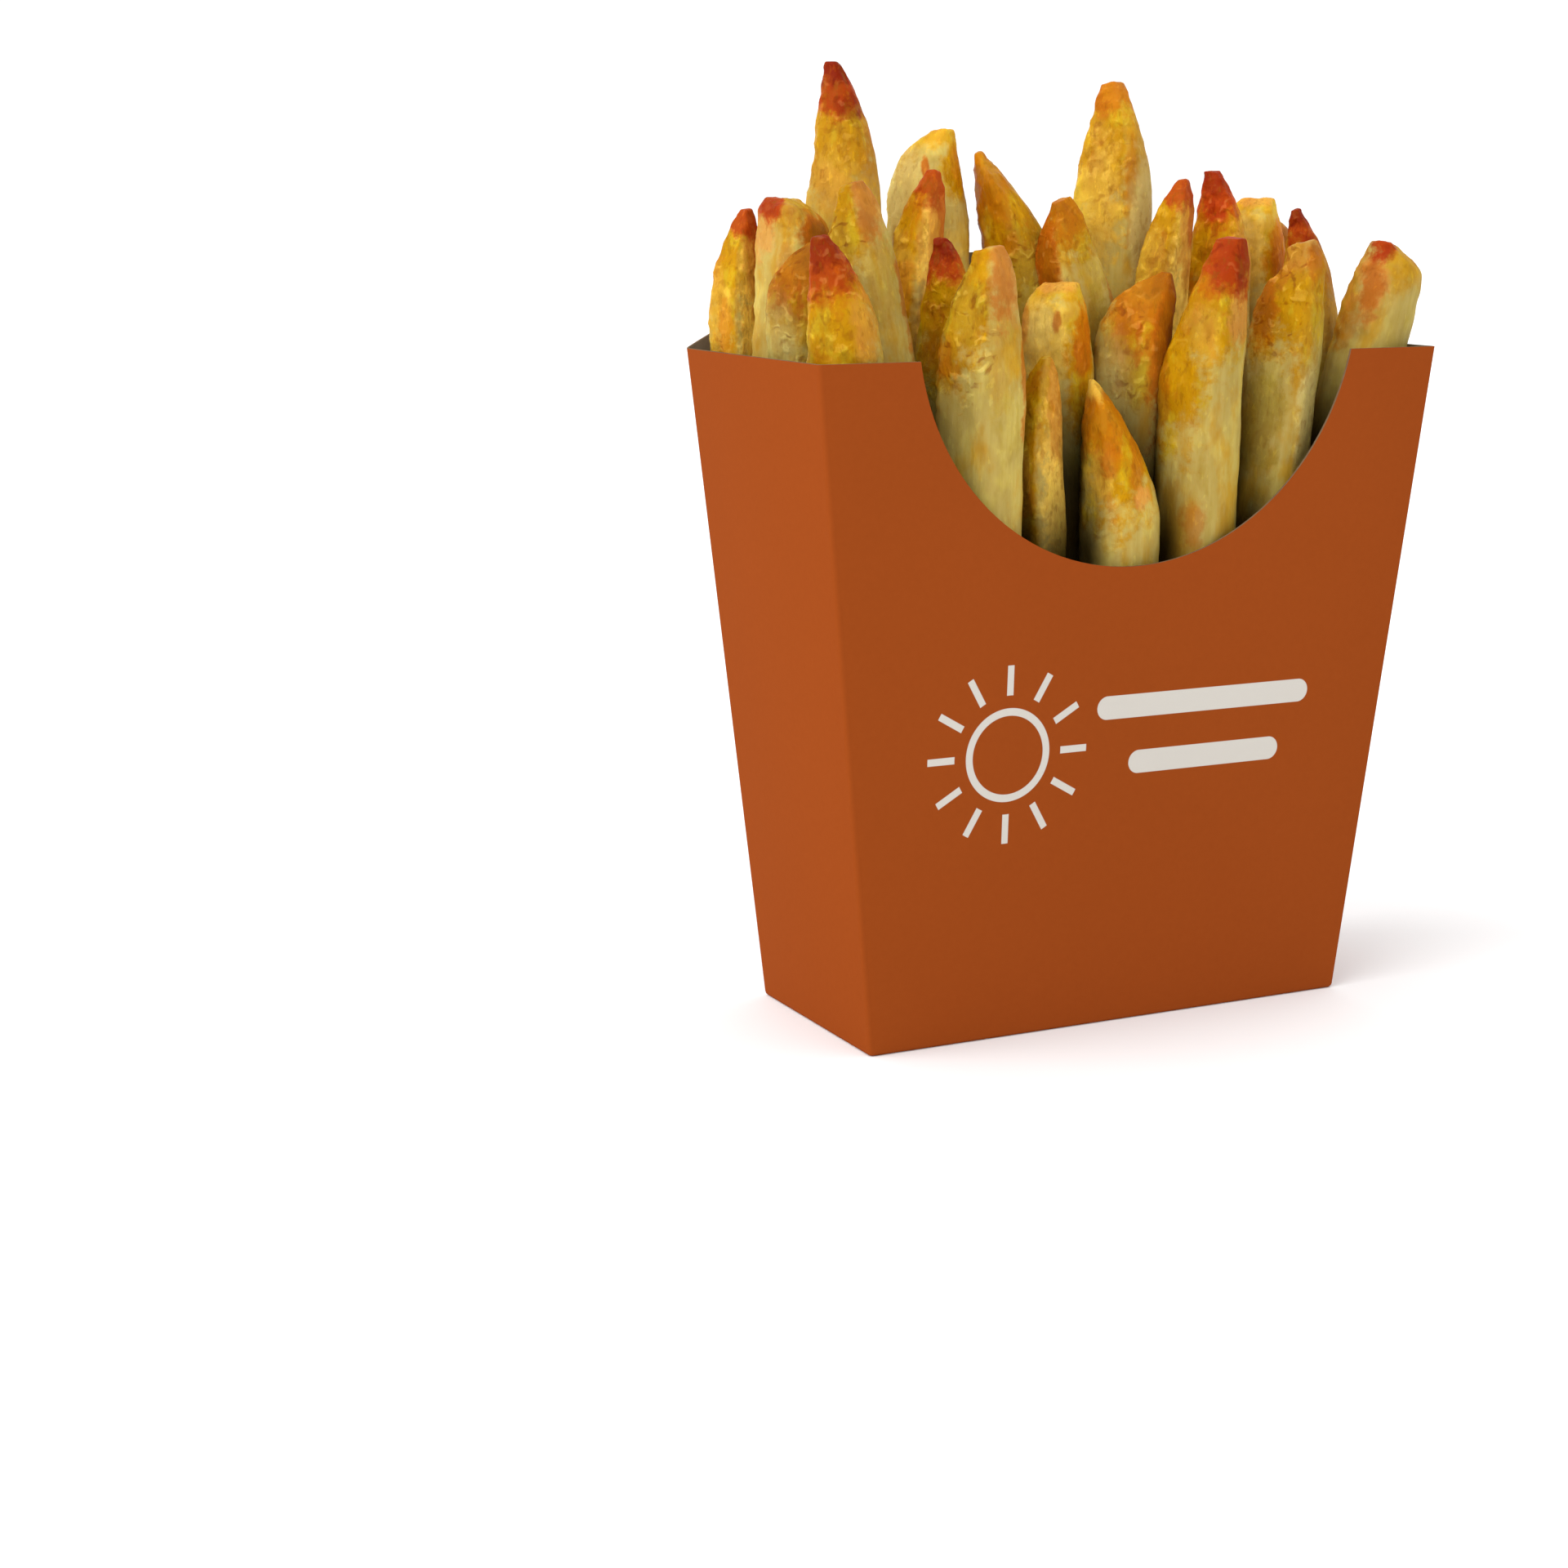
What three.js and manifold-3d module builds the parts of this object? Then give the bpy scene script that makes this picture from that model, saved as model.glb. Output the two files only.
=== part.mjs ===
// French fries standing in a tapered takeaway carton of folded board.
// Millimetres, +Z up. The origin is the centre of the carton's base, on the surface it stands on.
// The scooped front panel faces -Y and the arched back panel faces +Y.

import * as THREE from 'three';
import { mergeVertices } from 'three/addons/utils/BufferGeometryUtils.js';
import Module from 'manifold-3d';

const wasm = await Module();
wasm.setup();

// ---- Driving dimensions ----

const RIM_WIDTH = 130;
const RIM_DEPTH = 55;
const RIM_HEIGHT = 125;
const BASE_WIDTH = 103;
const BASE_DEPTH = 44.5;
const BOARD = 0.5;
const FOLD_RADIUS = 0.8;
const INNER_FOLD_RADIUS = 0.3;
const FOLD_STEPS = 3;

const SCOOP_RADIUS = 46;
const SCOOP_CENTRE_HEIGHT = 133;
const SCOOP_SEGMENTS = 96;
const ARCH_RISE = 17;
const ARCH_SEGMENTS = 32;

// The gap between the fries and the board, and how far the mass of hidden fries is packed up.
const CLEARANCE = 0.3;
const PACKED_HEIGHT = 84;
const FRY_FOOT_HEIGHT = 62;

// The fries fan out with the panels, and their broad sides are turned a little to one side.
const ROW_SPLAY = 0.0015;
const BROAD_SIDE_TURN = THREE.MathUtils.degToRad(-26);

// Cutting blocks reach past what they cut by this much.
const CUT_MARGIN = 5;
const ABOVE_EVERYTHING = 200;

// Distances below a fry's tip at which its section is drawn, and the sides of that section.
const STATIONS = [0, 1.2, 3.5, 7, 12, 18, 26, 42];
const FRY_SIDES = 8;

// Each kind of fry: where its left and right edges are at the tip and on the body, the length
// over which each edge runs out from the tip, how rounded that run is, and the thickness.
const KINDS = {
  spear: { tip: [-2.8, -0.2], body: [-7, 7.2], run: [27, 26], roundness: [1.05, 2.1], thick: [2.8, 13.5] },
  capped: { tip: [-2.8, 0.4], body: [-7, 7.2], run: [27, 22], roundness: [1.2, 2.2], thick: [3.6, 13.5] },
  bent: { tip: [1, 3.4], body: [-6, 4.8], run: [24, 8], roundness: [2.5, 2], thick: [3, 12] },
  blunt: { tip: [1, 5], body: [-7.6, 8], run: [20, 20], roundness: [4.2, 1.3], thick: [4.5, 13.5] },
  broad: { tip: [-3.6, 4.8], body: [-7.6, 8], run: [6.5, 16], roundness: [2, 1.3], thick: [5.5, 13.5] },
  ridged: { tip: [-2.4, 3], body: [-8.4, 7.6], run: [25, 26], roundness: [2, 1.9], thick: [4, 14] },
  faceted: { tip: [-1.6, 2.8], body: [-8.4, 7.6], run: [20, 26], roundness: [2.6, 1.6], thick: [4, 14] },
  wedge: { tip: [-2.9, 3], body: [-8.4, 7.2], run: [26, 24], roundness: [2, 1.9], thick: [4, 14] },
  tapered: { tip: [-6.2, -4.6], body: [-6.7, 8.2], run: [8, 25], roundness: [1, 1.5], thick: [2.6, 13.5] },
  tall: { tip: [-2.2, 2.2], body: [-7.8, 7.8], run: [24, 20], roundness: [1.3, 1.6], thick: [4.5, 13.5] },
  domed: { tip: [3.4, 6], body: [-7.6, 7], run: [17, 5], roundness: [3.2, 1.5], thick: [3.5, 13] },
  squared: { tip: [-5.4, 1.2], body: [-6.4, 7], run: [2.5, 6.5], roundness: [2, 2], thick: [6.5, 13.5] },
  skewed: { tip: [-3.6, 0.8], body: [-6.6, 7], run: [13, 5], roundness: [1.4, 2], thick: [6.5, 13.5] },
  large: { tip: [1.8, 7.2], body: [-7.7, 8], run: [26, 6], roundness: [1.2, 1.5], thick: [4, 14] },
};

// Each fry: its kind, its place across and through the carton at rim height, the height of its
// tip, its lean in degrees towards +X, and its size beside the kind's own.
const FRIES = [
  // Front row, behind the scoop.
  ['capped', -56, -19, 146, -9, 1],
  ['ridged', -27.5, -18, 144, 0, 1],
  ['bent', -15.5, -15, 124, -4, 1],
  ['tapered', 1.5, -18, 120, 0, 1],
  ['large', 18.5, -18, 145, 0, 1],
  ['wedge', 38.5, -17, 145, 5, 0.9],
  ['skewed', 57, -17, 143.4, 13, 1.05],
  // Second row.
  ['domed', -56, -3, 145, -2, 0.8],
  ['ridged', -43.6, -8, 155, -11, 0.85],
  ['capped', -27, -3, 145, 0, 0.8],
  ['broad', -4.5, -5, 137, 0, 0.85],
  ['domed', 10.5, -8, 139, 4, 0.97],
  ['domed', 28, -7, 121, 0, 0.85],
  ['tapered', 46, -5, 112, 0, 0.8],
  ['spear', 54.2, -2, 150, -6, 0.8],
  // Third row.
  ['squared', -53.5, 8, 152, 3, 1],
  ['bent', -27, 9, 157, 3, 1],
  ['broad', -16, 3, 130, 0, 0.8],
  ['tapered', -0.5, 12, 161, -8, 1],
  ['faceted', 7.5, 4, 152, -14, 0.85],
  ['bent', 23, 2, 155.3, 3, 0.95],
  ['capped', 37, 5, 157, 0, 0.95],
  ['broad', 49.5, 10, 152, 0, 0.8],
  // Back row, against the arched panel.
  ['bent', -57.5, 19, 150, -2, 0.95],
  ['domed', -48, 20, 141, 0, 0.8],
  ['spear', -38.5, 14, 176.4, -1, 1],
  ['blunt', -18.5, 19, 164.5, 0, 1],
  ['ridged', 2, 20, 138, 0, 0.75],
  ['tall', 20.2, 16, 173.4, 0, 1],
  ['domed', 38, 20, 142, 0, 0.85],
  ['squared', 59, 20, 149, 0, 0.8],
];

// ---- Solids ----

// Turns a closed three.js geometry into a solid whose shared corners are merged.
function toSolid(geometry) {
  const bare = geometry.index ? geometry.toNonIndexed() : geometry.clone();
  bare.deleteAttribute('normal');
  bare.deleteAttribute('uv');
  const merged = mergeVertices(bare, 1e-4);
  return new wasm.Manifold(new wasm.Mesh({
    numProp: 3,
    vertProperties: new Float32Array(merged.attributes.position.array),
    triVerts: new Uint32Array(merged.index.array),
  }));
}

// Turns a solid back into a named mesh.
function toMesh(name, solid, material) {
  const cut = solid.getMesh();
  const geometry = new THREE.BufferGeometry();
  geometry.setAttribute('position', new THREE.BufferAttribute(cut.vertProperties, 3));
  geometry.setIndex(new THREE.BufferAttribute(cut.triVerts, 1));
  geometry.computeVertexNormals();
  const mesh = new THREE.Mesh(geometry, material);
  mesh.name = name;
  return mesh;
}

function boxSolid(low, high) {
  const size = high.map((value, axis) => value - low[axis]);
  const geometry = new THREE.BoxGeometry(...size);
  geometry.translate(...low.map((value, axis) => value + size[axis] / 2));
  return toSolid(geometry);
}

// ---- Carton ----

const halfWidthAt = (z) => THREE.MathUtils.lerp(BASE_WIDTH, RIM_WIDTH, z / RIM_HEIGHT) / 2;
const halfDepthAt = (z) => THREE.MathUtils.lerp(BASE_DEPTH, RIM_DEPTH, z / RIM_HEIGHT) / 2;

function roundedRectangle(halfWidth, halfDepth, radius) {
  const shape = new THREE.Shape();
  const corners = [[1, 1, 0], [-1, 1, 90], [-1, -1, 180], [1, -1, 270]];
  for (const [sideX, sideY, startDegrees] of corners) {
    const start = THREE.MathUtils.degToRad(startDegrees);
    const centreX = sideX * (halfWidth - radius);
    const centreY = sideY * (halfDepth - radius);
    shape.absarc(centreX, centreY, radius, start, start + Math.PI / 2, false);
  }
  return shape;
}

// The volume inside the carton's outer faces, taken in by inset, from one height to another.
function taperedSolid(inset, low, high) {
  const radius = inset > 0 ? INNER_FOLD_RADIUS : FOLD_RADIUS;
  const halfWidth = RIM_WIDTH / 2 - inset;
  const halfDepth = RIM_DEPTH / 2 - inset;
  const geometry = new THREE.ExtrudeGeometry(roundedRectangle(halfWidth, halfDepth, radius), {
    depth: high - low,
    bevelEnabled: false,
    curveSegments: FOLD_STEPS,
  });
  const points = geometry.attributes.position;
  for (let i = 0; i < points.count; i += 1) {
    const z = points.getZ(i) + low;
    const x = points.getX(i) * (halfWidthAt(z) - inset) / halfWidth;
    const y = points.getY(i) * (halfDepthAt(z) - inset) / halfDepth;
    points.setXYZ(i, x, y, z);
  }
  return toSolid(geometry);
}

// The flat circle segment by which the back panel rises above the rim, as a block through +Y.
function archBlock() {
  const halfChord = RIM_WIDTH / 2;
  const radius = (halfChord ** 2 + ARCH_RISE ** 2) / (2 * ARCH_RISE);
  const halfAngle = Math.asin(halfChord / radius);
  const shape = new THREE.Shape();
  const middle = Math.PI / 2;
  shape.absarc(0, RIM_HEIGHT + ARCH_RISE - radius, radius, middle - halfAngle, middle + halfAngle, false);
  const geometry = new THREE.ExtrudeGeometry(shape, {
    depth: RIM_DEPTH,
    bevelEnabled: false,
    curveSegments: ARCH_SEGMENTS,
  });
  geometry.rotateX(Math.PI / 2);
  geometry.translate(0, RIM_DEPTH, 0);
  return toSolid(geometry);
}

// The round cutter that scoops out the front panel.
function scoopCutter() {
  const geometry = new THREE.CylinderGeometry(SCOOP_RADIUS, SCOOP_RADIUS, RIM_DEPTH, SCOOP_SEGMENTS);
  geometry.translate(0, -RIM_DEPTH / 2, SCOOP_CENTRE_HEIGHT);
  return toSolid(geometry);
}

function cartonSolid() {
  const blankTop = RIM_HEIGHT + ARCH_RISE + CUT_MARGIN;
  const inside = taperedSolid(BOARD, BOARD, blankTop + CUT_MARGIN);
  const shell = taperedSolid(0, 0, blankTop).subtract(inside);
  const belowRim = boxSolid([-RIM_WIDTH, -RIM_DEPTH, -CUT_MARGIN], [RIM_WIDTH, RIM_DEPTH, RIM_HEIGHT]);
  return shell.intersect(belowRim.add(archBlock())).subtract(scoopCutter());
}

// ---- Fries ----

// An edge's distance from the fry's middle line, at a depth below the tip.
function edgeAt(kind, side, depth) {
  const left = Math.max(1 - depth / kind.run[side], 0);
  return kind.body[side] + (kind.tip[side] - kind.body[side]) * left ** kind.roundness[side];
}

function thicknessAt(kind, depth) {
  const left = Math.max(1 - depth / kind.run[0], 0);
  return kind.thick[1] + (kind.thick[0] - kind.thick[1]) * left ** 2;
}

// One fry: a tapered eight-sided stick that runs from its tip down into the packed mass.
function frySolid([kindName, across, through, tipHeight, lean, size]) {
  const kind = KINDS[kindName];
  const depths = [...STATIONS, tipHeight - FRY_FOOT_HEIGHT];
  const rings = depths.length - 1;
  const geometry = new THREE.CylinderGeometry(1, 1, 1, FRY_SIDES, rings);
  const leanSlope = Math.tan(THREE.MathUtils.degToRad(lean));
  const cos = Math.cos(BROAD_SIDE_TURN);
  const sin = Math.sin(BROAD_SIDE_TURN);
  const points = geometry.attributes.position;
  for (let i = 0; i < points.count; i += 1) {
    const ring = Math.round((0.5 - points.getY(i)) * rings);
    const depth = depths[ring];
    const leftEdge = edgeAt(kind, 0, depth) * size;
    const rightEdge = edgeAt(kind, 1, depth) * size;
    const halfThickness = thicknessAt(kind, depth) * size / 2;
    const sideways = (leftEdge + rightEdge) / 2 + points.getX(i) * (rightEdge - leftEdge) / 2;
    const forwards = points.getZ(i) * halfThickness;
    const height = tipHeight - depth;
    const axisX = across + (height - RIM_HEIGHT) * leanSlope;
    const axisY = through * (1 + (height - RIM_HEIGHT) * ROW_SPLAY);
    const x = axisX + sideways * cos + forwards * sin;
    const y = axisY + sideways * sin - forwards * cos;
    points.setXYZ(i, x, y, height);
  }
  return toSolid(geometry);
}

// The space that the fries may fill: inside the board, and in front of the back panel above it.
function roomForFries() {
  const inset = BOARD + CLEARANCE;
  const rimLevel = RIM_HEIGHT + CLEARANCE;
  const inside = taperedSolid(inset, inset, rimLevel + CUT_MARGIN);
  const profile = new THREE.Shape([
    new THREE.Vector2(rimLevel, -RIM_DEPTH),
    new THREE.Vector2(ABOVE_EVERYTHING, -RIM_DEPTH),
    new THREE.Vector2(ABOVE_EVERYTHING, halfDepthAt(ABOVE_EVERYTHING) - inset),
    new THREE.Vector2(rimLevel, halfDepthAt(rimLevel) - inset),
  ]);
  const above = new THREE.ExtrudeGeometry(profile, { depth: 2 * RIM_WIDTH, bevelEnabled: false });
  above.rotateY(-Math.PI / 2);
  above.translate(RIM_WIDTH, 0, 0);
  return inside.add(toSolid(above));
}

// The whole bundle as one solid: the packed mass with every fry standing out of it.
function friesSolid() {
  const inset = BOARD + CLEARANCE;
  const packed = taperedSolid(inset, inset, PACKED_HEIGHT);
  const bundle = FRIES.reduce((mass, fry) => mass.add(frySolid(fry)), packed);
  return bundle.intersect(roomForFries());
}

// ---- Materials and assembly ----

const boardMaterial = new THREE.MeshStandardMaterial({ color: 0xa04a1f, roughness: 0.65, metalness: 0 });
const fryMaterial = new THREE.MeshStandardMaterial({ color: 0xc59a3c, roughness: 0.55, metalness: 0 });

const group = new THREE.Group();
group.add(toMesh('carton', cartonSolid(), boardMaterial));
group.add(toMesh('fries', friesSolid(), fryMaterial));

export default group;
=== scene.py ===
# French fries standing in a tapered takeaway carton of folded board.
# Metres, +Z up. The carton stands on z = 0, with its scooped front panel towards -Y.

import math
import random

import bpy
from mathutils import Matrix, Vector


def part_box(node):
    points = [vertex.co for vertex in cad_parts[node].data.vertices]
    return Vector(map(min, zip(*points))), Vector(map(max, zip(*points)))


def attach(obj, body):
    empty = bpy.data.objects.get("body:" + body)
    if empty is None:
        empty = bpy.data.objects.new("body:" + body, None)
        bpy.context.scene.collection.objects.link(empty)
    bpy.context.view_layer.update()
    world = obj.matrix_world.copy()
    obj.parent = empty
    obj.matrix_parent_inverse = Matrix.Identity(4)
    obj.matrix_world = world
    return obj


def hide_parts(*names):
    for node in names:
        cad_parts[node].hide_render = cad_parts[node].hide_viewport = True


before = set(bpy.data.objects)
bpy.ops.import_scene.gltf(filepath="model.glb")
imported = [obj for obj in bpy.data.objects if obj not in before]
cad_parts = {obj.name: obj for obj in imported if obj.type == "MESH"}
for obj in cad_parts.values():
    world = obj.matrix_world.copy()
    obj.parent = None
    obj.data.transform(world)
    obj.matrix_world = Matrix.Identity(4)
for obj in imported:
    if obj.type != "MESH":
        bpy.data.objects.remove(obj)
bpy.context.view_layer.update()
scene = bpy.context.scene
dice = random.Random(11)

MM = 0.001

# ---- Sizes of the carton, in metres ----

carton_low, carton_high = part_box("carton")
RIM_WIDTH = carton_high.x - carton_low.x
RIM_DEPTH = -2 * carton_low.y
RIM_HEIGHT = 125 * MM
BASE_WIDTH = 103 * MM
BASE_DEPTH = 44.5 * MM
BOARD = 0.5 * MM
FOLD_RADIUS = 0.8 * MM
FOLD_STEPS = 3
SCOOP_RADIUS = 46 * MM
SCOOP_CENTRE_HEIGHT = 133 * MM
SCOOP_STEPS = 128
ARCH_RISE = carton_high.z - RIM_HEIGHT
ARCH_STEPS = 256
CLEARANCE = 0.3 * MM
CORE_HEIGHT = 62 * MM
CORE_GAP = 0.4 * MM
CORE_ROUNDING = 2 * MM

# How much higher than its arch the back panel is drawn, to be trimmed, and how much larger the
# arch's radius is than one that would meet the rim's two back corners, so that they aren't nicked.
TRIM_SPARE = 2 * MM
CORNER_SPARE = 0.05 * MM

# ---- The fries, in millimetres ----

# The fries fan out with the panels, and their broad sides are turned a little to one side.
ROW_SPLAY = 0.0015
BROAD_SIDE_TURN = math.radians(-26)

# Over the length of its foot a fry narrows by a share of its size, and both ends are domed.
FRY_LENGTH = 112
FOOT_LENGTH = 20
FOOT_TAPER = 0.25
FOOT_INSET = 2
FOOT_DOME = 0.8
TIP_DOME = 0.3
CORNER_STEPS = 5
SLANT_REACH = 12
USUAL_SOFTNESS = 0.5
USUAL_HALF_WIDTH = 7

# How far below the tip each ring of a fry is, closer together where the tip curves.
FRY_RINGS = [
    0.5, 1.2, 2.2, 3.5, 5, 7, 9.5, 12, 15, 18, 22, 26, 31, 36, 42, 48, 55, 63, 72, 82, 92, 102, 109,
]

# The relief: lumps all over a fry, and blisters and wrinkles where its crust is wrinkled.
LUMP_SIZE = 10
LUMP_HEIGHT = 0.7
BLISTER_SIZE = 2.2
BLISTER_HEIGHT = 0.42
WRINKLE_SIZE = 3.2
WRINKLE_HEIGHT = 0.3

# How wrinkled a fry is: a little all over, more at its tip, and most on its left face. The middle
# of that stretch is below the tip, and the sharpness is that of its border at the ridge.
WRINKLED_ALL_OVER = 0.18
WRINKLED_TIP = dict(reach=10, weight=0.45)
WRINKLED_FACE = dict(middle=20, reach=16, sharpness=1.2, weight=0.8)

# Each kind of fry: where its left and right edges are at the tip and on the body, the length
# over which each edge runs out from the tip, how rounded that run is, the thickness at the tip
# and on the body, and where the ridge between its two front faces is, from -1 at the left edge
# to 1 at the right. Some also say how much their corners are rounded, where that isn't the
# usual amount, and how far their end is cut aslant. Millimetres and degrees.
POINTED = dict(
    tip=(-6.2, -4.6), body=(-6.7, 8.2), run=(8, 25), roundness=(1, 1.5), thick=(2.6, 13.5), ridge=-0.1,
)
KINDS = {
    "spear": dict(
        tip=(-2.8, -0.2), body=(-7, 7.2), run=(27, 26), roundness=(1.05, 2.1), thick=(2.8, 13.5), ridge=0.3,
    ),
    "capped": dict(
        tip=(-2.8, 0.4), body=(-7, 7.2), run=(27, 22), roundness=(1.2, 2.2), thick=(3.6, 13.5), ridge=0.3,
    ),
    "bent": dict(
        tip=(1, 3.4), body=(-6, 4.8), run=(24, 8), roundness=(2.5, 2), thick=(3, 12), ridge=0.0,
        soft=0.34,
    ),
    "blunt": dict(
        tip=(1, 5), body=(-7.6, 8), run=(20, 20), roundness=(4.2, 1.3), thick=(4.5, 13.5), ridge=0.25,
    ),
    "broad": dict(
        tip=(-3.6, 4.8), body=(-7.6, 8), run=(6.5, 16), roundness=(2, 1.3), thick=(5.5, 13.5), ridge=0.25,
    ),
    "ridged": dict(
        tip=(-2.4, 3), body=(-8.4, 7.6), run=(25, 26), roundness=(2.0, 1.9), thick=(4, 14), ridge=0.1,
        soft=0.42, slant=9,
    ),
    "faceted": dict(
        tip=(-1.6, 2.8), body=(-8.4, 7.6), run=(20, 26), roundness=(2.6, 1.6), thick=(4, 14), ridge=-0.3,
        soft=0.34, slant=8,
    ),
    "wedge": dict(
        tip=(-2.9, 3), body=(-8.4, 7.2), run=(26, 24), roundness=(2, 1.9), thick=(4, 14), ridge=0.3,
        soft=0.42, slant=24,
    ),
    "pointed": POINTED,
    "tapered": POINTED,
    "tall": dict(
        tip=(-2.2, 2.2), body=(-7.8, 7.8), run=(24, 20), roundness=(1.3, 1.6), thick=(4.5, 13.5), ridge=0.35,
    ),
    "domed": dict(
        tip=(3.4, 6), body=(-7.6, 7), run=(17, 5), roundness=(3.2, 1.5), thick=(3.5, 13), ridge=0.35,
    ),
    "squared": dict(
        tip=(-5.4, 1.2), body=(-6.4, 7), run=(2.5, 6.5), roundness=(2, 2), thick=(6.5, 13.5), ridge=0.2,
    ),
    "skewed": dict(
        tip=(-3.6, 0.8), body=(-6.6, 7), run=(13, 5), roundness=(1.4, 2), thick=(6.5, 13.5), ridge=0.2,
    ),
    "large": dict(
        tip=(1.8, 7.2), body=(-7.7, 8), run=(26, 6), roundness=(1.2, 1.5), thick=(4, 14), ridge=0.15,
    ),
}

# Each fry: its kind, its place across and through the carton at rim height, the height of its
# tip, its lean in degrees towards +X, its size beside the kind's own, how light its colour is,
# which is partly its frying and partly painted light that evens out how brightly the rows are
# lit, and how red its burnt places are.
FRIES = [
    # Front row, behind the scoop.
    ("capped", -56, -19, 146, -9, 1, 0.86, 0.85),
    ("ridged", -27.5, -18, 144, 0, 1, 0.88, 1),
    ("bent", -15.5, -15, 124, -4, 1, 0.9, 0),
    ("tapered", 1.5, -18, 120, 0, 1, 0.96, 1),
    ("large", 18.5, -18, 145, 0, 1, 0.83, 1),
    ("wedge", 38.5, -17, 145, 5, 0.9, 0.82, 1),
    ("skewed", 57, -17, 143.4, 13, 1.05, 0.79, 1),
    # Second row.
    ("domed", -56, -3, 145, -2, 0.8, 0.7, 1),
    ("ridged", -43.6, -8, 155, -11, 0.85, 0.78, 1),
    ("capped", -27, -3, 145, 0, 0.8, 0.88, 1),
    ("broad", -4.5, -5, 137, 0, 0.85, 1, 1),
    ("domed", 10.5, -8, 139, 4, 0.97, 0.86, 1),
    ("domed", 28, -7, 121, 0, 0.85, 1, 1),
    ("tapered", 46, -5, 112, 0, 0.8, 1, 1),
    ("spear", 54.2, -2, 150, -6, 0.8, 0.84, 1),
    # Third row.
    ("squared", -53.5, 8, 152, 3, 1, 0.95, 1),
    ("bent", -27, 9, 157, 3, 1, 1.08, 1),
    ("broad", -16, 3, 130, 0, 0.8, 1.1, 0),
    ("pointed", -0.5, 12, 161, -8, 1, 0.95, 1),
    ("faceted", 7.5, 4, 152, -14, 0.85, 0.92, 1),
    ("bent", 23, 2, 155.3, 3, 0.95, 0.88, 1),
    ("capped", 37, 5, 157, 0, 0.95, 1.12, 1),
    ("broad", 49.5, 10, 152, 0, 0.8, 1.1, 0),
    # Back row, against the arched panel.
    ("bent", -57.5, 19, 150, -2, 0.95, 0.94, 1),
    ("domed", -48, 20, 141, 0, 0.8, 1.1, 1),
    ("spear", -38.5, 14, 176.4, -1, 1, 0.9, 1),
    ("blunt", -18.5, 19, 164.5, 0, 1, 1.06, 1),
    ("ridged", 2, 20, 138, 0, 0.75, 1.1, 1),
    ("tall", 20.2, 16, 173.4, 0, 1, 0.95, 1),
    ("domed", 38, 20, 142, 0, 0.85, 1.1, 1),
    ("squared", 59, 20, 149, 0, 0.8, 0.85, 0.2),
]

# ---- Colours, as linear light ----

CREAM = (0.47, 0.335, 0.078, 1)
PALE = (0.61, 0.47, 0.15, 1)
STRAW = (0.72, 0.44, 0.055, 1)
# Painted light: a buttery yellow that lightens the bent kind's right face, turned away from the key light.
BUTTER_PAINTED_LIGHT = (0.90, 0.56, 0.09, 1)
PEACH = (0.60, 0.255, 0.05, 1)
GOLD = (0.48, 0.225, 0.002, 1)
ORANGE = (0.44, 0.105, 0.003, 1)
YELLOW = (0.52, 0.33, 0.012, 1)
AMBER = (0.46, 0.16, 0.004, 1)
OLIVE = (0.36, 0.235, 0.022, 1)
BROWN = (0.24, 0.085, 0.003, 1)
RED = (0.37, 0.034, 0.003, 1)
DARK_RED = (0.20, 0.012, 0.002, 1)
# Painted shade, laid over the fries deep in the carton.
SHADE = (0.012, 0.006, 0.001, 1)
PRINT = (0.268, 0.0530, 0.0082, 1)
PRINT_FLECKS = (0.284, 0.0565, 0.0090, 1)
# The board's inside: its own pale grey painted darker as shade inside the carton, with its flecks.
UNPRINTED_AND_SHADE = (0.19, 0.15, 0.10, 1)
UNPRINTED_AND_SHADE_FLECKS = (0.23, 0.185, 0.13, 1)
CUT_BOARD = (0.15, 0.09, 0.05, 1)
CUT_FLECKS = (0.22, 0.14, 0.08, 1)
WHITE_INK = (0.56, 0.53, 0.48, 1)
# Painted shade: two near-black tones for the core of fries deep in the carton.
CORE_SHADE_DEEPER = (0.008, 0.004, 0.001, 1)
CORE_SHADE_SOFTER = (0.03, 0.015, 0.003, 1)
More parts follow.
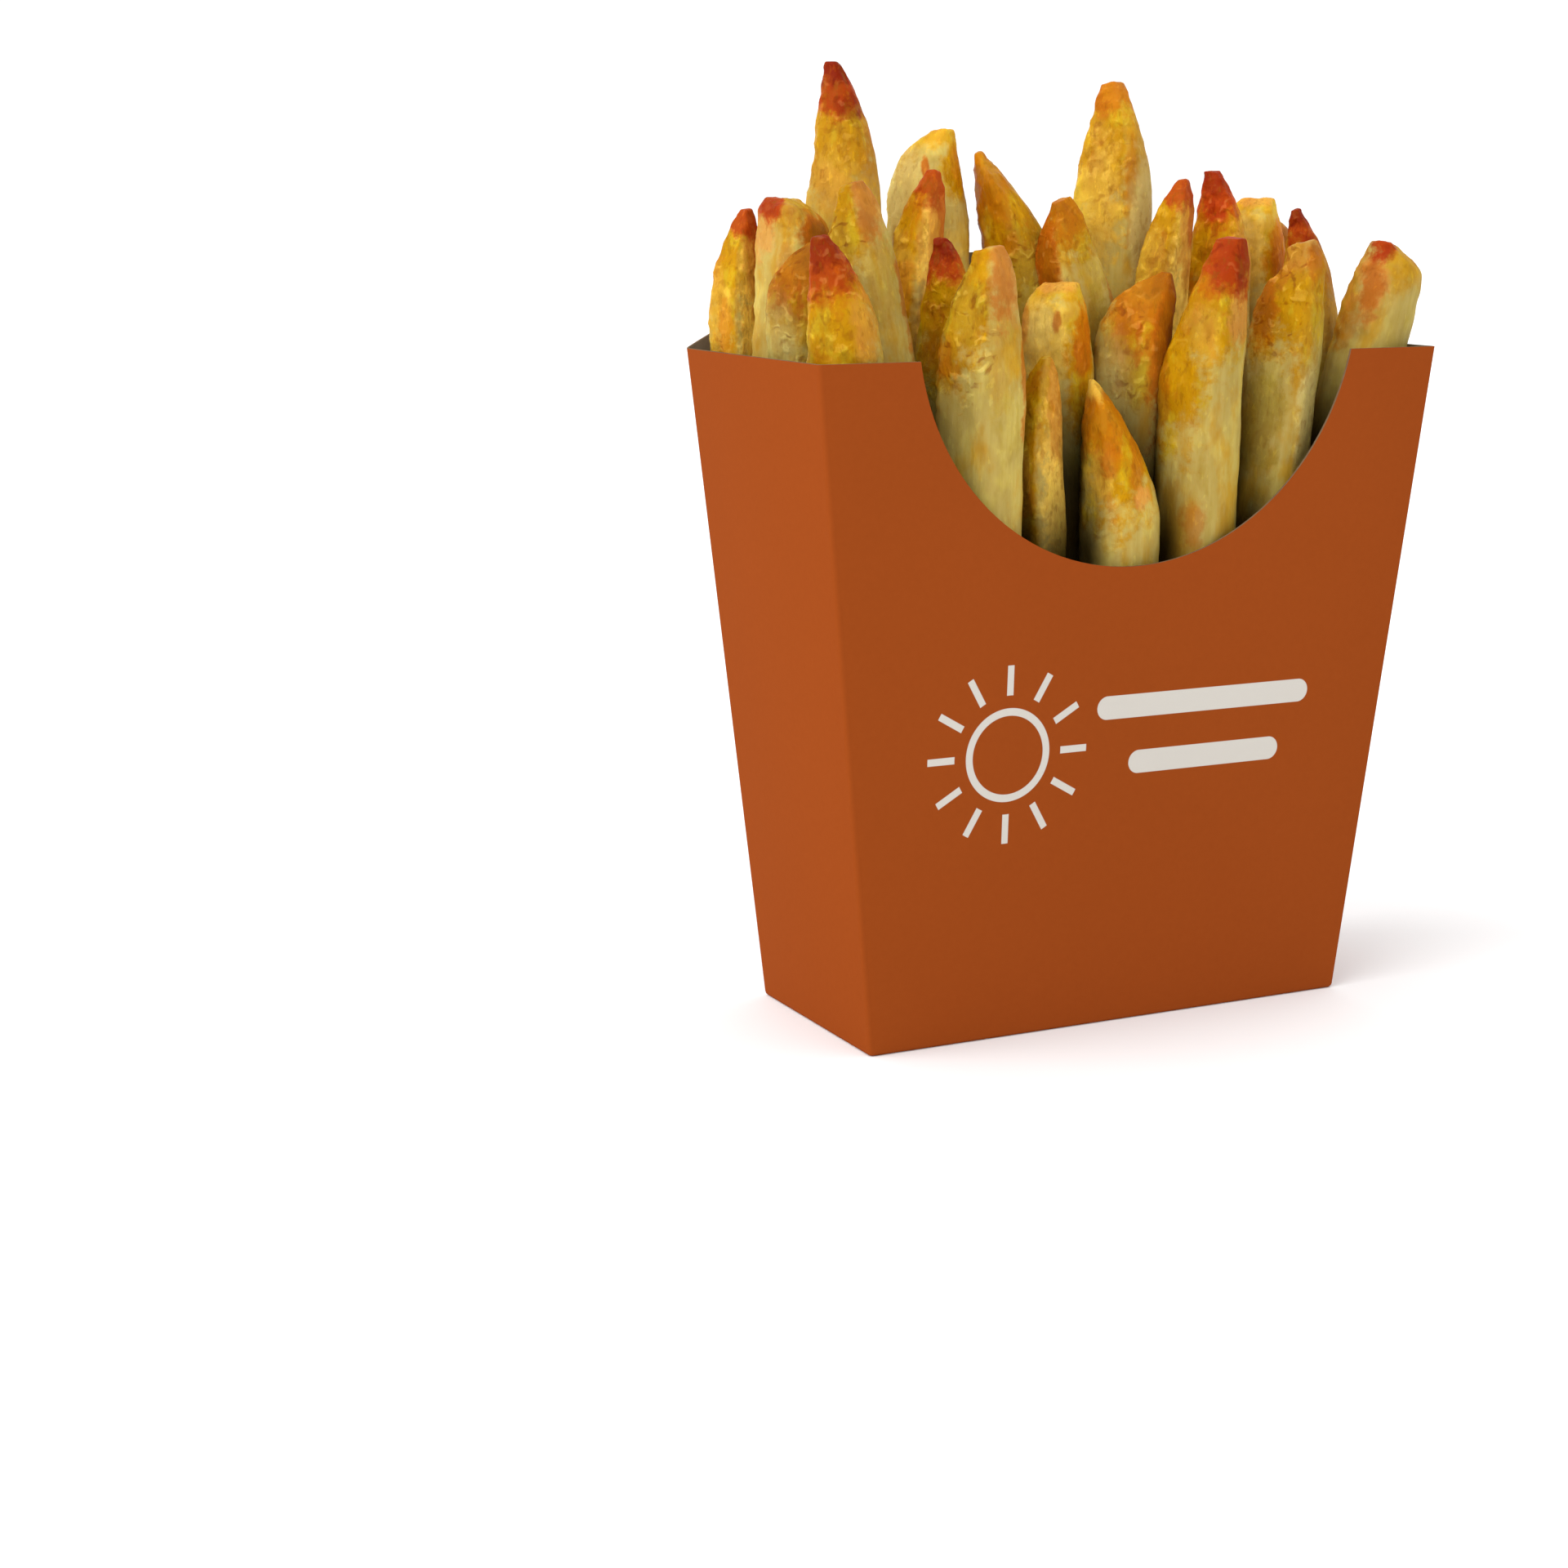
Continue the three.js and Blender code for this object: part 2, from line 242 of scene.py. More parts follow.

# Browned places on each kind, and a lighter patch of painted light, wholly on the bent kind and
# partly on the tapered one. Each gives the colour, the middle (across and below the tip), the
# reach (across and along), how strong it is, how ragged its edge is, and which of the two front
# faces it keeps to, or both. Millimetres.
BROWNING_AND_PAINTED_LIGHT = {
    "spear": [
        (GOLD, (-1, 11), (12, 18), 0.95, 0.8, "both"),
        (ORANGE, (5, 22), (4, 14), 0.3, 1.0, "right"),
        (ORANGE, (-2, 23), (4, 5), 0.6, 0.9, "both"),
        (ORANGE, (-1.5, 3), (7, 6.6), 0.8, 0.8, "both"),
        (STRAW, (-1, 28), (10, 12), 0.5, 0.9, "both"),
        (OLIVE, (2, 42), (9, 8), 0.6, 0.9, "both"),
        (RED, (-0.5, 3), (5.5, 7.2), 0.9, 0.9, "both"),
        (DARK_RED, (-1, 0), (6, 4.5), 0.9, 0.5, "both"),
        (DARK_RED, (2, 8), (2.6, 3), 0.6, 0.9, "both"),
    ],
    "capped": [
        (GOLD, (-1, 14), (11, 20), 1.0, 0.7, "both"),
        (ORANGE, (-3, 24), (3, 6), 0.4, 0.9, "left"),
        (PEACH, (4, 17), (4, 8), 0.4, 0.9, "right"),
        (ORANGE, (-1.5, 4), (8, 7.4), 0.75, 0.8, "both"),
        (RED, (-1.5, 2), (7.6, 7.4), 0.95, 0.8, "both"),
        (DARK_RED, (-1.5, 0), (6, 5.4), 0.85, 0.6, "both"),
    ],
    "bent": [
        (GOLD, (-1, 12), (9, 24), 1.0, 0.7, "left"),
        (STRAW, (-4, 18), (3, 9), 0.4, 0.9, "left"),
        (GOLD, (2, 6), (6, 14), 0.9, 0.8, "right"),
        # Painted light: a buttery yellow lightens the right face, which is turned away from the key light.
        (BUTTER_PAINTED_LIGHT, (4, 26), (4, 26), 1.0, 0.8, "right"),
        (ORANGE, (3.6, 10), (2, 12), 0.6, 1.0, "both"),
        (ORANGE, (-3, 22), (2, 6), 0.5, 1.0, "both"),
        (RED, (2, 0), (4.4, 5.6), 0.9, 0.7, "both"),
        (RED, (4.4, 8), (1.0, 8), 0.6, 1.2, "both"),
    ],
    "blunt": [
        (PALE, (-4, 12), (5, 9), 0.7, 0.6, "left"),
        (STRAW, (3, 0), (9, 4), 0.8, 0.6, "both"),
        (GOLD, (3, 0), (9, 3.6), 0.75, 0.6, "both"),
        (ORANGE, (-0.6, 7), (0.8, 2.6), 0.9, 0.5, "both"),
        (GOLD, (5.2, 6.6), (3, 6), 1.0, 0.8, "both"),
        (ORANGE, (5.2, 6), (1.2, 4), 0.5, 0.8, "both"),
        (STRAW, (4.6, 27), (3, 10), 0.4, 0.9, "right"),
    ],
    "broad": [
        (STRAW, (-2, 12), (6, 13), 0.65, 0.7, "left"),
        (PALE, (-4, 9), (2.6, 6), 0.4, 0.6, "left"),
        (GOLD, (2, 0), (12, 4.6), 0.85, 0.5, "both"),
        (PEACH, (0, 0), (6, 2.4), 0.6, 0.5, "both"),
        (RED, (-0.8, 8), (0.9, 2.6), 0.6, 0.5, "both"),
        (GOLD, (5, 18), (3.8, 16), 1.0, 0.7, "both"),
        (ORANGE, (5.2, 13), (2.4, 10), 0.75, 0.9, "both"),
        (ORANGE, (-7.3, 8), (0.8, 5), 0.5, 1.0, "both"),
    ],
    "ridged": [
        (GOLD, (-4, 5), (9, 15), 1.0, 0.6, "left"),
        (GOLD, (-6, 16), (3.5, 11), 0.9, 0.9, "left"),
        (OLIVE, (-4, 12), (3, 6), 0.4, 0.9, "left"),
        (GOLD, (3, 20), (4, 10), 0.4, 0.9, "right"),
        (PEACH, (4, 3), (5, 9), 0.6, 0.9, "right"),
        (ORANGE, (2.6, 3), (3, 9), 0.6, 1.0, "both"),
        (ORANGE, (-7, 19), (1.6, 5), 0.6, 1.0, "left"),
        (ORANGE, (7.3, 22), (0.8, 14), 0.7, 1.5, "right"),
    ],
    "faceted": [
        (GOLD, (1, 3), (8, 12), 0.95, 0.6, "both"),
        (ORANGE, (-5, 14), (4.6, 17), 1.0, 0.7, "left"),
        (ORANGE, (0, 3), (5, 8), 0.65, 0.8, "both"),
        (BROWN, (-5, 14), (2.4, 9), 0.55, 0.9, "left"),
        (GOLD, (4, 16), (4, 9), 0.35, 0.9, "right"),
        (OLIVE, (3, 30), (7, 10), 0.6, 0.9, "both"),
        (ORANGE, (7.2, 26), (0.8, 9), 0.5, 1.4, "right"),
    ],
    "wedge": [
        (GOLD, (-3, 8), (10, 18), 1.0, 0.6, "left"),
        (GOLD, (2, 14), (4, 16), 0.9, 0.6, "both"),
        (ORANGE, (-6, 15), (3, 8), 0.8, 0.9, "left"),
        (BROWN, (-6, 17), (2, 4), 0.4, 0.9, "left"),
        (PEACH, (2, 2), (8, 6), 0.4, 0.6, "both"),
        (ORANGE, (3.4, 4), (2.6, 6), 0.7, 0.8, "both"),
        (OLIVE, (-4, 38), (4, 13), 0.6, 0.9, "left"),
        (GOLD, (6, 12), (3, 10), 0.6, 0.8, "right"),
        (PALE, (5.5, 36), (3.4, 13), 0.9, 0.8, "right"),
    ],
    "pointed": [
        (GOLD, (-2, 12), (9, 17), 1.0, 0.7, "both"),
        (OLIVE, (1, 26), (6, 12), 0.6, 0.9, "both"),
        (ORANGE, (-4, 5), (4, 9), 0.55, 0.9, "both"),
        (ORANGE, (-6.3, 14), (1.1, 14), 0.5, 1.0, "left"),
        (ORANGE, (-2, 17), (2, 2.2), 0.5, 0.9, "both"),
    ],
    "tapered": [
        (GOLD, (-1, 11), (9, 17), 1.0, 0.7, "both"),
        (STRAW, (-4, 17), (3, 6), 0.6, 0.8, "left"),
        (ORANGE, (-3, 6), (7, 9), 0.65, 0.8, "both"),
        # Straw at the tip: its own yellow, and painted light that lightens it where the fries around shade
        # it.
        (STRAW, (-5, 0.5), (2.4, 3), 0.7, 0.6, "both"),
        (ORANGE, (3, 14), (1.6, 9), 0.6, 1.0, "right"),
        (ORANGE, (-2, 14), (2, 3), 0.5, 0.9, "both"),
        (PEACH, (4, 21), (1.6, 2.4), 0.8, 0.6, "right"),
    ],
    "tall": [
        (GOLD, (-3, 10), (9, 22), 0.95, 0.7, "left"),
        (STRAW, (-3, 24), (5, 14), 0.6, 0.9, "left"),
        (GOLD, (3, 8), (6, 12), 0.7, 0.8, "right"),
        (ORANGE, (0, 1), (8, 5), 0.8, 0.7, "both"),
        (ORANGE, (3, 18), (1.6, 12), 0.35, 1.0, "both"),
        (PALE, (5.6, 30), (3, 16), 0.7, 0.8, "right"),
    ],
    "domed": [
        (GOLD, (2, 8), (10, 17), 0.95, 0.7, "both"),
        (PALE, (-4.4, 25), (3.6, 14), 0.45, 0.8, "left"),
        (OLIVE, (2, 20), (4, 7), 0.4, 0.9, "both"),
        (ORANGE, (1.2, 4.2), (9.4, 10), 0.78, 0.9, "both"),
        (BROWN, (3.4, 3), (5.5, 4.5), 0.4, 0.9, "both"),
        (ORANGE, (4.8, 13), (3.8, 17), 0.9, 0.9, "right"),
        (BROWN, (5.6, 15), (2.2, 15), 0.5, 0.9, "right"),
        (RED, (0, 13), (0.8, 4), 0.4, 0.9, "both"),
    ],
    "squared": [
        (GOLD, (0, 0), (10, 7), 0.7, 0.7, "both"),
        (PEACH, (-5, 6), (2, 5), 0.7, 0.8, "both"),
        (ORANGE, (-1, 12), (2, 4), 0.3, 1.0, "both"),
        (RED, (-4.2, 1.4), (2.6, 3.8), 0.95, 0.8, "both"),
        (DARK_RED, (-4.4, 1), (1.6, 2.2), 0.55, 0.8, "both"),
        (ORANGE, (4, 5.4), (3.4, 3.8), 0.95, 0.7, "both"),
        (BROWN, (5, 5.6), (2.2, 2.6), 0.6, 0.8, "both"),
    ],
    "skewed": [
        (GOLD, (-6, 8), (2.4, 14), 0.8, 0.7, "left"),
        (GOLD, (2, 2), (6, 6), 0.6, 0.8, "both"),
        (ORANGE, (-5, 16), (2, 6), 0.4, 0.9, "left"),
        (PEACH, (-2.6, 7), (2.6, 7), 0.85, 0.8, "left"),
        (ORANGE, (-2.6, 7), (2, 6), 0.75, 0.9, "left"),
        (RED, (-1.6, 1.2), (2.4, 3.4), 1.0, 0.7, "both"),
    ],
    "large": [
        (GOLD, (-5, 18), (6, 22), 1.0, 0.7, "left"),
        (GOLD, (1, 9), (9, 15), 1.0, 0.7, "both"),
        (STRAW, (0, 17), (4, 6), 0.3, 0.9, "left"),
        (PEACH, (6, 13), (2.4, 6), 0.7, 0.9, "right"),
        (ORANGE, (2, 4), (8, 8), 0.8, 0.8, "both"),
        (RED, (4.4, 0), (6.4, 9.6), 0.95, 0.8, "both"),
        (DARK_RED, (6.5, 4), (1.6, 5.4), 0.5, 0.8, "both"),
        (ORANGE, (-7.2, 26), (1.4, 11), 0.5, 1.0, "left"),
        (ORANGE, (-0.6, 52), (2.6, 4.4), 0.5, 1.0, "both"),
    ],
}

# Where each kind is wrinkled: the middle, the reach and the strength, as above.
WRINKLED = {
    "spear": ((-2, 12), (7, 14), 0.6),
    "capped": ((-1, 10), (7, 12), 0.7),
    "bent": ((-2, 16), (5, 16), 0.55),
    "blunt": ((4, 20), (4, 12), 0.3),
    "broad": ((4, 20), (4, 12), 0.3),
    "ridged": ((-4, 15), (6, 12), 1.0),
    "faceted": ((-4, 12), (5, 14), 0.6),
    "wedge": ((-3, 12), (6, 16), 1.0),
    "pointed": ((0, 30), (9, 20), 0.9),
    "tapered": ((-2, 24), (6, 8), 0.3),
    "tall": ((-2, 12), (7, 16), 0.5),
    "domed": ((-2, 14), (5, 16), 0.8),
    "squared": ((0, 5), (6, 6), 0.3),
    "skewed": ((-1, 6), (3, 8), 0.4),
    "large": ((3, 3), (5, 7), 0.6),
}

# How far apart on one pattern two fries can be, how far the border between the two front faces
# wanders from the ridge, and how soft that border is. Millimetres.
GRAIN_SPREAD = 170
RIDGE_WANDER = 1.2
RIDGE_BLUR = 0.9

# How deep the bump of each finish is, and how far light goes into fried potato. Metres.
CRUST_BUMP = 0.9 * MM
BOARD_BUMP = 0.1 * MM
GLOW_DEPTH = 1.2 * MM

# Painted shade in the carton: fries are darkened in the bottom, behind each of two rows, and
# beside the scoop. Each pair says where the painted shade begins and where it is full. Metres.
BOTTOM_SHADE = (84 * MM, 72 * MM)
ROW_SHADES = [
    dict(behind=(-20 * MM, -14 * MM), below=(127 * MM, 100 * MM)),
    dict(behind=(-23.5 * MM, -17.5 * MM), below=(112 * MM, 88 * MM)),
]
SIDE_SHADE = dict(outside=(42 * MM, 46 * MM), below=(126 * MM, 106 * MM))

# The print on the front panel: a sunburst and two bars with round ends.
SUNBURST_MIDDLE = (-25 * MM, 54 * MM, 0)
SUNBURST_RING = 8 * MM
SUNBURST_RAYS = 12
RAY_REACH = (11 * MM, 16.6 * MM)
RAY_WIDTH = 1.3 * MM
LINE_WIDTH = 1.4 * MM
BARS = [((17 * MM, 61 * MM, 0), 23.4 * MM), ((17.6 * MM, 50.3 * MM, 0), 16.7 * MM)]
BAR_RADIUS = 2.2 * MM
PRINT_BLUR = 0.1 * MM

# ---- Floor, light and camera ----

FLOOR_SIZE = 12
KEY_LIGHT = dict(turn=-82, height=40, strength=1.8, spread=60)
ROOM_LIGHT = 1.1
CAMERA_PLACE = (-0.27296, -0.44341, 0.15388)
CAMERA_TILT = 77.766
CAMERA_TURN = -25.862
LENS_LENGTH = 63


# ---- Small helpers ----

def start_clean():
    """Object mode, with nothing selected."""
    if bpy.context.object and bpy.context.object.mode != "OBJECT":
        bpy.ops.object.mode_set(mode="OBJECT")
    bpy.ops.object.select_all(action="DESELECT")


def make_active(piece):
    start_clean()
    piece.select_set(True)
    bpy.context.view_layer.objects.active = piece


def name_new(name):
    piece = bpy.context.object
    piece.name = name
    piece.data.name = name
    return piece


def pick_faces(piece, wanted):
    """In edit mode: selects only the faces for which wanted(face) is true."""
    bpy.ops.mesh.select_all(action="DESELECT")
    bpy.ops.object.mode_set(mode="OBJECT")
    for face in piece.data.polygons:
        face.select = wanted(face)
    bpy.ops.object.mode_set(mode="EDIT")


def pick_edges(piece, wanted):
    """In edit mode: selects only the edges for which wanted(end, other end) is true."""
    bpy.ops.mesh.select_all(action="DESELECT")
    bpy.ops.mesh.select_mode(type="EDGE")
    bpy.ops.object.mode_set(mode="OBJECT")
    corners = piece.data.vertices
    for edge in piece.data.edges:
        edge.select = wanted(corners[edge.vertices[0]].co, corners[edge.vertices[1]].co)
    bpy.ops.object.mode_set(mode="EDIT")


def apply_modifier(piece, kind, **settings):
    make_active(piece)
    modifier = piece.modifiers.new(kind.lower(), kind)
    for key, value in settings.items():
        setattr(modifier, key, value)
    bpy.ops.object.modifier_apply(modifier=modifier.name)


def feed(tree, node, inputs):
    """Links each input to the socket it is given, or sets it to the value."""
    for key, value in dict(inputs).items():
        if isinstance(value, bpy.types.NodeSocket):
            tree.links.new(value, node.inputs[key])
        else:
            node.inputs[key].default_value = value


def add_node(tree, kind, inputs=(), **settings):
    """A new node with its settings, and each input either linked to a socket or given a value."""
    node = tree.nodes.new(kind)
    for key, value in settings.items():
        setattr(node, key, value)
    feed(tree, node, inputs)
    return node


def maths(tree, operation, *values, clamp=False):
    return add_node(
        tree, "ShaderNodeMath", enumerate(values), operation=operation, use_clamp=clamp
    ).outputs[0]


def vector_maths(tree, operation, *values, output=0):
    return add_node(
        tree, "ShaderNodeVectorMath", enumerate(values), operation=operation
    ).outputs[output]


def remap(tree, value, from_low, from_high, to_low=0.0, to_high=1.0, smooth=False):
    return add_node(
        tree,
        "ShaderNodeMapRange",
        {0: value, 1: from_low, 2: from_high, 3: to_low, 4: to_high},
        interpolation_type="SMOOTHSTEP" if smooth else "LINEAR",
    ).outputs[0]


def noise(tree, place, scale, detail=2.0, roughness=0.5, kind="FBM"):
    return add_node(
        tree,
        "ShaderNodeTexNoise",
        {"Vector": place, "Scale": scale, "Detail": detail, "Roughness": roughness},
        noise_type=kind,
    ).outputs["Fac"]


def blend_colours(tree, amount, under, over, blend_type="MIX"):
    return add_node(
        tree,
        "ShaderNodeMix",
        {0: amount, 6: under, 7: over},
        data_type="RGBA",
        blend_type=blend_type,
    ).outputs[2]


def new_group(name, inputs, outputs):
    """An empty shader node group with the named sockets, and its input and output nodes."""
    tree = bpy.data.node_groups.new(name, "ShaderNodeTree")
    for label, kind in inputs:
        tree.interface.new_socket(label, in_out="INPUT", socket_type="NodeSocket" + kind)
    for label, kind in outputs:
        tree.interface.new_socket(label, in_out="OUTPUT", socket_type="NodeSocket" + kind)
    given = tree.nodes.new("NodeGroupInput").outputs
    result = tree.nodes.new("NodeGroupOutput").inputs
    return tree, given, result


def place_group(tree, group, inputs):
    """A group placed in a tree, with its inputs linked or set; gives the group's outputs."""
    return add_node(tree, "ShaderNodeGroup", inputs, node_tree=group).outputs


def new_material(name):
    """A material, its node tree and its shader."""
    material = bpy.data.materials.new(name)
    material.use_nodes = True
    tree = material.node_tree
    return material, tree, tree.nodes["Principled BSDF"]


# ---- Node groups ----

def ragged_patch_group():
    """A mask that is 1 in the middle of an ellipse across and along the fry, with a ragged edge."""
    tree, given, result = new_group(
        "ragged_patch",
        [("Place", "Vector"), ("Grain", "Vector"), ("Middle", "Vector"), ("Reach", "Vector"),
         ("Raggedness", "Float"), ("Strength", "Float")],
        [("Mask", "Float")],
    )
    flat = vector_maths(tree, "MULTIPLY", given["Place"], (1, 0, 1))
    offset = vector_maths(tree, "SUBTRACT", flat, given["Middle"])
    scaled = vector_maths(tree, "DIVIDE", offset, given["Reach"])
    distance = vector_maths(tree, "LENGTH", scaled, output="Value")
    broad = noise(tree, given["Grain"], 0.16, 3.0, 0.6)
    swing = maths(tree, "MULTIPLY", maths(tree, "SUBTRACT", broad, 0.5), given["Raggedness"])
    fine = noise(tree, given["Grain"], 0.42, 4.0, 0.66)
    fine_swing = maths(tree, "MULTIPLY", maths(tree, "SUBTRACT", fine, 0.5), 1.5)
    wavy = maths(tree, "ADD", maths(tree, "MULTIPLY_ADD", swing, 2.0, distance), fine_swing)
    mask = remap(tree, wavy, 1.2, 0.55, smooth=True)
    tree.links.new(maths(tree, "MULTIPLY", mask, given["Strength"]), result["Mask"])
    return tree


def potato_group():
    """The pale cut flesh under the crust: cream with long fibres and soft golden and olive clouds."""
    tree, given, result = new_group(
        "potato_flesh",
        [("Grain", "Vector"), ("Cream", "Color"), ("Pale", "Color"), ("Gold", "Color"),
         ("Olive", "Color")],
        [("Color", "Color"), ("Fibres", "Float")],
    )
    stretched = vector_maths(tree, "MULTIPLY", given["Grain"], (1, 1, 0.09))
    fibres = noise(tree, stretched, 0.9, 4.0, 0.65)
    streaks = remap(tree, fibres, 0.38, 0.64)
    colour = blend_colours(tree, maths(tree, "MULTIPLY", streaks, 0.35), given["Cream"], given["Pale"])
    clouds = noise(tree, vector_maths(tree, "MULTIPLY", given["Grain"], (1, 1, 0.45)), 0.14, 4.0, 0.62)
    golden = maths(tree, "MULTIPLY", remap(tree, clouds, 0.46, 0.66, smooth=True), 0.7)
    colour = blend_colours(tree, golden, colour, given["Gold"])
    greener = maths(tree, "MULTIPLY", remap(tree, clouds, 0.44, 0.30, smooth=True), 0.5)
    colour = blend_colours(tree, greener, colour, given["Olive"])
    tree.links.new(colour, result["Color"])
    tree.links.new(fibres, result["Fibres"])
    return tree


def golden_group():
    """Golden crust, which is yellower in some places and more amber in others."""
    tree, given, result = new_group(
        "golden_crust",
        [("Grain", "Vector"), ("Gold", "Color"), ("Yellow", "Color"), ("Amber", "Color")],
        [("Color", "Color")],
    )
    clouds = noise(tree, vector_maths(tree, "MULTIPLY", given["Grain"], (1, 1, 0.5)), 0.17, 4.0, 0.6)
    yellower = maths(tree, "MULTIPLY", remap(tree, clouds, 0.51, 0.62, smooth=True), 0.85)
    colour = blend_colours(tree, yellower, given["Gold"], given["Yellow"])
    deeper = maths(tree, "MULTIPLY", remap(tree, clouds, 0.45, 0.36, smooth=True), 0.8)
    tree.links.new(blend_colours(tree, deeper, colour, given["Amber"]), result["Color"])
    return tree


def crust_mottle_group():
    """Soft clouds of darker and lighter colour, and fine strokes, darkest where the crust is crisp;
    the lightest strokes are painted glints.
    """
    tree, given, result = new_group(
        "crust_mottle",
        [("Color", "Color"), ("Grain", "Vector"), ("Crisp", "Float"), ("Dark", "Color")],
        [("Color", "Color"), ("Strokes", "Float")],
    )
    clouds = noise(tree, vector_maths(tree, "MULTIPLY", given["Grain"], (1, 1, 0.6)), 0.15, 3.0, 0.55)
    strokes = noise(tree, vector_maths(tree, "MULTIPLY", given["Grain"], (1, 1, 0.45)), 0.8, 3.0, 0.6)
    darker = maths(tree, "MULTIPLY", remap(tree, clouds, 0.46, 0.30, smooth=True),
                   maths(tree, "MULTIPLY_ADD", given["Crisp"], 0.30, 0.05))
    colour = blend_colours(tree, darker, given["Color"], given["Dark"])
    # A lighter colour, for the lighter clouds and for the painted glints.
    lighter_tone_and_glint = vector_maths(tree, "MULTIPLY_ADD", colour, (1.3, 1.4, 1.3), (0.035, 0.022, 0.0))
    glow = maths(tree, "MULTIPLY", remap(tree, clouds, 0.48, 0.62, smooth=True), 0.45)
    colour = blend_colours(tree, glow, colour, lighter_tone_and_glint)
    hollows = maths(tree, "MULTIPLY", remap(tree, strokes, 0.43, 0.36),
                    maths(tree, "MULTIPLY_ADD", given["Crisp"], 0.30, 0.04))
    colour = blend_colours(tree, hollows, colour, given["Dark"])
    # Painted glints: the lightest strokes are lightened as highlights.
    glints = maths(tree, "MULTIPLY", remap(tree, strokes, 0.60, 0.66),
                   maths(tree, "MULTIPLY_ADD", given["Crisp"], 0.15, 0.4))
    colour = blend_colours(tree, glints, colour, lighter_tone_and_glint)
    tree.links.new(colour, result["Color"])
    tree.links.new(strokes, result["Strokes"])
    return tree


def flaked_group():
    """Crinkled, flaking crust: its height, and masks for a painted highlight on its slopes facing the
    upper left and painted shade on its slopes facing away.
    """
    tree, given, result = new_group(
        "flaked_crust",
        [("Grain", "Vector"), ("Patch", "Float")],
        [("Height", "Float"), ("Painted Highlight", "Float"), ("Painted Shade", "Float")],
    )
    bend = add_node(tree, "ShaderNodeTexNoise", {"Vector": given["Grain"], "Scale": 0.3, "Detail": 2.0})
    shifted = vector_maths(tree, "MULTIPLY_ADD", bend.outputs["Color"], (5.0, 5.0, 5.0), given["Grain"])
    along = vector_maths(tree, "MULTIPLY", shifted, (0.8, 0.8, 1.0))
    creases = noise(tree, along, 0.46, 1.5, 0.5, "RIDGED_MULTIFRACTAL")
    beside = vector_maths(tree, "ADD", along, (-0.35, -0.35, -0.4))
    beyond = noise(tree, beside, 0.46, 1.5, 0.5, "RIDGED_MULTIFRACTAL")
    # The slope against a point nearer the upper left: painted highlight where it faces that way, painted
    # shade where it faces away.
    slope = maths(tree, "SUBTRACT", creases, beyond)
    lit_slopes = maths(tree, "MULTIPLY", remap(tree, slope, 0.05, 0.17, smooth=True), given["Patch"])
    hollows = maths(tree, "MULTIPLY", remap(tree, slope, -0.05, -0.18, smooth=True), given["Patch"])
    tree.links.new(maths(tree, "MULTIPLY", creases, given["Patch"]), result["Height"])
    tree.links.new(lit_slopes, result["Painted Highlight"])
    tree.links.new(hollows, result["Painted Shade"])
    return tree


def deep_shade_group():
    """Painted shade: fries darken on their way down into the carton, soonest behind the front row."""
    tree, given, result = new_group(
        "deep_shade",
        [("Color", "Color"), ("Shade", "Color"), ("Place", "Vector")],
        [("Color", "Color")],
    )
    parts = add_node(tree, "ShaderNodeSeparateXYZ", {0: given["Place"]}).outputs
    shade = remap(tree, parts["Z"], *BOTTOM_SHADE, smooth=True)
    for row in ROW_SHADES:
        behind = remap(tree, parts["Y"], *row["behind"], smooth=True)
        sunk = remap(tree, parts["Z"], *row["below"], smooth=True)
        shade = maths(tree, "MAXIMUM", shade, maths(tree, "MULTIPLY", behind, sunk))
    outside = remap(tree, maths(tree, "ABSOLUTE", parts["X"]), *SIDE_SHADE["outside"], smooth=True)
    sunk = remap(tree, parts["Z"], *SIDE_SHADE["below"], smooth=True)
    shade = maths(tree, "MAXIMUM", shade, maths(tree, "MULTIPLY", outside, sunk))
    colour = blend_colours(tree, maths(tree, "MULTIPLY", shade, 0.95), given["Color"], given["Shade"])
    tree.links.new(colour, result["Color"])
    return tree


RAGGED_PATCH = ragged_patch_group()
POTATO_FLESH = potato_group()
GOLDEN_CRUST = golden_group()
CRUST_MOTTLE = crust_mottle_group()
FLAKED_CRUST = flaked_group()
DEEP_SHADE = deep_shade_group()


# ---- Fried potato ----

def place_patch(tree, place, grain, middle, reach, strength, ragged):
    """The mask of one ragged patch; its middle and reach are across and along the fry."""
    return place_group(tree, RAGGED_PATCH, {
        "Place": place,
        "Grain": grain,
        "Middle": (middle[0], 0, middle[1]),
        "Reach": (reach[0], 1, reach[1]),
        "Raggedness": ragged,
        "Strength": strength,
    })["Mask"]


def front_faces(tree, side, grain):
    """Masks of the two front faces, which meet at the ridge in a wandering, slightly soft line."""
    wander = maths(tree, "MULTIPLY_ADD", noise(tree, grain, 0.5, 3.0, 0.6), 2 * RIDGE_WANDER, -RIDGE_WANDER)
    right_of_ridge = maths(tree, "ADD", side, wander)
    return {
        "left": remap(tree, right_of_ridge, RIDGE_BLUR, -RIDGE_BLUR, smooth=True),
        "right": remap(tree, right_of_ridge, -RIDGE_BLUR, RIDGE_BLUR, smooth=True),
    }


def brown_and_paint_light(tree, kind_name, colour, golden, place, grain, faces, redness):
    """Lays a kind's browned places and its patches of painted light over a colour; also gives how
    crisp the crust is.
    """
    crisp = maths(tree, "MULTIPLY", faces["left"], 0.1)
    for patch_colour, middle, reach, strength, ragged, face in BROWNING_AND_PAINTED_LIGHT[kind_name]:
        mask = place_patch(tree, place, grain, middle, reach, strength, ragged)
        if face in faces:
            mask = maths(tree, "MULTIPLY", mask, faces[face])
        if patch_colour in (RED, DARK_RED):
            mask = maths(tree, "MULTIPLY", mask, redness)
        colour = blend_colours(tree, mask, colour, golden if patch_colour == GOLD else patch_colour)
        crisp = maths(tree, "MAXIMUM", crisp, mask)
    return colour, crisp


